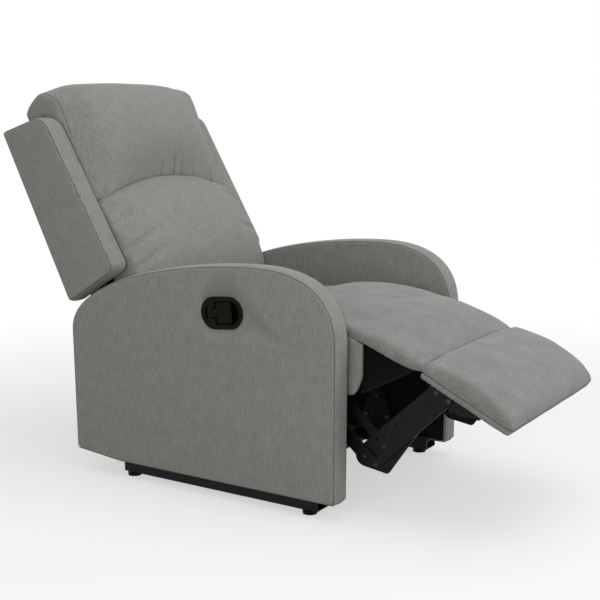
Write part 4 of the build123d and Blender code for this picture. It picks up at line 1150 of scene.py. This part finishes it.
@dataclass
class Studio:
    """Pale floor, soft light and the camera of the photograph."""

    camera_place: Triple = (-2.4683, -1.5442, 0.950)
    yaw: float = math.radians(57.605)
    pitch: float = math.radians(-13.84)
    focal: float = 67.33
    shift: Pair = (0.0101, 0.1379)
    lit_point: Triple = (0.0, 0.0, 0.45)
    ambient: float = 0.48
    sky: Colour = (1.0, 0.99, 0.975)
    floor_shade: Colour = (0.90, 0.90, 0.90)
    floor_bounce: Colour = (0.34, 0.34, 0.34)

    def build(self) -> None:
        """Set up the camera, the light and the floor."""
        bpy.context.scene.view_settings.view_transform = "Standard"
        self.camera()
        self.world()
        self.lamp("overhead", (0.2, -0.5, 3.3), 3.2, 42.0, (0.9, 0.95, 1.0))
        self.lamp("side_window", (-3.1, -0.9, 0.95), 1.9, 34.0, (1.0, 0.985, 0.945))
        self.lamp("front_fill", (0.5, -3.4, 1.2), 2.2, 44.0, (1.0, 0.985, 0.975))
        self.floor()

    def camera(self) -> None:
        """Stand the camera where the photograph was taken from."""
        data = bpy.data.cameras.new("photo_camera")
        data.lens = self.focal
        data.shift_x, data.shift_y = self.shift
        camera = shown("photo_camera", data)
        camera.location = self.camera_place
        camera.rotation_euler = (math.pi / 2 + self.pitch, 0.0, -self.yaw)
        bpy.context.scene.camera = camera

    def lamp(self, name: str, place: Triple, size: float, power: float, colour: Colour) -> None:
        """Hang a soft square lamp that looks at the chair."""
        data = bpy.data.lights.new(name, "AREA")
        data.size = size
        data.energy = power
        data.color = colour
        lamp = shown(name, data)
        lamp.location = place
        lamp.rotation_euler = (Vector(self.lit_point) - Vector(place)).to_track_quat("-Z", "Y").to_euler()

    def world(self) -> None:
        """Even light all round, seen as white by the camera."""
        world = bpy.data.worlds.new("studio")
        graph = Graph(world)
        rays = graph.add("ShaderNodeLightPath", {}, {}).outputs
        seen = Value(graph, rays["Is Camera Ray"]).either(Value(graph, rays["Is Glossy Ray"]))
        seen = seen.either(Value(graph, rays["Is Transmission Ray"]))
        lit = graph.add("ShaderNodeBackground", {}, {"Color": self.sky, "Strength": self.ambient})
        white = graph.add("ShaderNodeBackground", {}, {"Color": (1.0, 1.0, 1.0), "Strength": 1.0})
        mix = graph.add("ShaderNodeMixShader", {}, {0: seen, 1: lit.outputs[0], 2: white.outputs[0]})
        graph.add("ShaderNodeOutputWorld", {}, {"Surface": mix.outputs[0]})
        bpy.context.scene.world = world

    def floor(self) -> None:
        """Lay the floor, which fades to white away from the chair."""
        graph = Graph(bpy.data.materials.new("studio_floor"))
        far = graph.value("ShaderNodeVectorMath", {"operation": "LENGTH"}, {0: graph.place()}, "Value")
        fade = far.between(0.9, 2.6)
        rays = graph.add("ShaderNodeLightPath", {}, {}).outputs
        seen = Value(graph, rays["Is Camera Ray"]).either(Value(graph, rays["Is Glossy Ray"]))
        tone = graph.mix(seen, self.floor_bounce, self.floor_shade)
        paper = graph.add("ShaderNodeBsdfDiffuse", {}, {"Color": tone})
        glow = graph.add("ShaderNodeEmission", {}, {"Color": (1.0, 1.0, 1.0), "Strength": 1.0})
        share = (0.55 + 0.45 * fade) * seen
        mix = graph.add("ShaderNodeMixShader", {}, {0: share, 1: paper.outputs[0], 2: glow.outputs[0]})
        graph.add("ShaderNodeOutputMaterial", {}, {"Surface": mix.outputs[0]})
        mesh = bmesh.new()
        bmesh.ops.create_grid(mesh, x_segments=1, y_segments=1, size=14.0)
        piece_from(mesh, "floor", graph.holder)


@dataclass
class Armchair:
    """The whole chair: its soft pieces, its seams and the finishes of its frame."""

    frame: Mapping[str, Any]

    def __post_init__(self) -> None:
        """Make the finishes and find the back's hinge."""
        self.nodes = self.frame["nodes"]
        hinge = next(joint["pos_m"] for joint in self.frame["joints"] if joint["name"] == "recline")
        self.lean = Lean(tuple(hinge))
        self.upright = Chenille("chenille_upright", Grain.UPRIGHT).material()
        self.leaning = Chenille("chenille_leaning", Grain.LEANING).material()
        # Seat and footrest chenille: a stronger nap mottle, and a darker, cooler tone that paints shade on
        # these up-facing tops
        self.lengthwise = Chenille(
            "chenille_lengthwise_shaded", Grain.LENGTHWISE, dark=(0.149, 0.147, 0.142), light=(0.300, 0.296, 0.289),
            patch=0.50, patch_scale=22.0,
        ).material()
        # Seam thread, whose dark tone also paints the shade of the seam's groove
        self.seam = Mottled(
            "seam_thread", (0.050, 0.048, 0.045), (0.105, 0.102, 0.097), 500.0, 1.0, (0.85, 0.1),
            (0.5, 0.0005),
        ).material()
        # Near-black dust cloth of the frame and pads; on the arms' inner faces, the back posts and under the
        # seat pad it also paints the shade there
        self.dust = Mottled(
            "dust_cloth_and_painted_shade", (0.0036, 0.0036, 0.0040), (0.0084, 0.0084, 0.0094), 260.0, 4.0, (0.75, 0.2),
            (0.3, 0.0006), specular=0.12,
        ).material()

    def keep(self, piece: Piece, body: str, *nodes: str) -> None:
        """Mount a cloth piece on a body, in place of solids."""
        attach(piece, body)
        if nodes:
            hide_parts(*nodes)
        LOG.info("%s rides on %s", piece.name, body)

    def stuffed(self, pad: Pad) -> Piece:
        """Build a pad and mount it on its body."""
        piece = pad.build(self.nodes)
        self.keep(piece, pad.body, *pad.nodes)
        return piece

    def arms(self) -> None:
        """Make both arms, with the handle's opening in the right one, and their inner faces lined dark below
        the seat as painted shade.
        """
        for side, word in SIDES:
            arm, seams = Arm("arm_" + word, side, self.upright, self.seam).build()
            if side < 0:
                HandleOpening().cut(arm)
            line_shade_below(arm, self.dust, SHADE_LINED_BELOW, (-side, 0.0, 0.0))
            self.keep(arm, "base", "arm_cover_" + word)
            self.keep(seams, "base")

    def wings(self) -> None:
        """Make both wings of the back."""
        for side, word in SIDES:
            wing, seams = Wing("wing_pad_" + word, side, self.leaning, self.seam, lean=self.lean).build()
            taken = ("wing_" + word, "wing_panels") if side < 0 else ("wing_" + word,)
            self.keep(wing, "back", *taken)
            self.keep(seams, "back")

    def back(self) -> None:
        """Make the cushions and the rear of the back."""
        head = BackPad(
            "head_pad", ("head_cushion",), "back", self.leaning, self.lean.front, lean=self.lean,
            voxel=0.005, rounding=6, swell=0.004, crown=0.015, roll=0.024, drop=0.008, rear_reach=0.010,
            folds=HEAD_FOLDS,
        )
        lumbar = BackPad(
            "lumbar_pad", ("lumbar_cushion",), "back", self.leaning, self.lean.front, lean=self.lean,
            rounding=16, lift=0.009, folds=LUMBAR_FOLDS,
        )
        self.keep(head.end_seams(self.stuffed(head), self.seam), head.body)
        self.stuffed(lumbar)
        self.keep(OutsideBack(self.leaning, self.lean).build(), "back", "back_board")

    def seat(self) -> None:
        """Make the long seat pad, the footrest's pad and the apron."""
        chaise = ChaiseSeat(
            "chaise_seat", ("seat_cushion", "chaise_pad"), "seat", self.lengthwise, voxel=0.007,
            underside=self.dust,
        )
        piece = chaise.build(self.nodes)
        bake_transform(piece)
        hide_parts(*chaise.nodes)
        LOG.info("%s bends from seat to footrest", piece.name)
        footrest = FootrestPad(
            "footrest_pad", ("footrest_cushion", "footrest_board"), "footrest", self.lengthwise,
            voxel=0.005, rounding=7, swell=0.005, underside=self.dust,
        )
        self.keep(footrest.seam(self.stuffed(footrest), self.seam), footrest.body)
        # The apron in the near-black cloth is dust cloth and also paints the shade under the front of the
        # seat pad
        self.stuffed(Pad("apron", ("seat_apron",), "seat", self.dust, voxel=0.004, rounding=6, swell=0.003))
        self.stuffed(Facing(
            "facings", ("seat_facings",), "seat", self.upright, voxel=0.0025, rounding=3, swell=0.0015,
        ))

    def finishes(self) -> None:
        """Give every solid that still shows its finish."""
        plastic = {
            "shade": (0.0048, 0.0039, 0.0023), "glint": (0.0086, 0.0072, 0.0046), "scale": 60.0,
            "detail": 4.0, "relief": (0.12, 0.0003), "pebble": 1500.0, "specular": 0.06,
        }
        by_slot = {
            "mechanism_paint": PaintedSteel().material(),
            "bright_steel": Mottled(
                "blackened_steel", (0.060, 0.062, 0.068), (0.026, 0.027, 0.031), 180.0, 4.0, (0.34, 0.2),
                metallic=1.0,
            ).material(),
            "black_plastic": Mottled("handle_plastic", roughness=(0.34, 0.16), **plastic).material(),
            "bumper_rubber": Mottled("bumper_rubber_black", roughness=(0.6, 0.16), **plastic).material(),
            "timber": FrameTimber().material(),
            "webbing": ElasticWebbing().material(),
            "upholstery": self.upright,
        }
        # Frame parts covered in the near-black cloth; on the back posts it also paints the shade between the
        # wings' feet and the arms
        lined_and_shaded = ("seat_front_rail", "seat_side_rails", "seat_rear_rail", "back_posts", "back_rail_lower")
        wrapped = ("back_rail_upper", "back_rail_middle")
        covers = {**dict.fromkeys(lined_and_shaded, self.dust), **dict.fromkeys(wrapped, self.upright)}
        for name, node in self.nodes.items():
            for slot in node.material_slots:
                plain = by_slot.get(slot.material.name.split(".")[0], slot.material)
                slot.material = covers.get(name, plain)

    def build(self) -> None:
        """Make every piece of the chair."""
        self.arms()
        self.wings()
        self.back()
        self.seat()
        self.keep(RearPanel(self.upright).build(), "base", "rear_tie_board")
        self.finishes()


def main() -> None:
    """Build the studio and the chair."""
    logging.basicConfig(level=logging.INFO, format="%(name)s: %(message)s")
    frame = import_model()
    Studio().build()
    Armchair(frame).build()


if __name__ == "__main__":
    main()
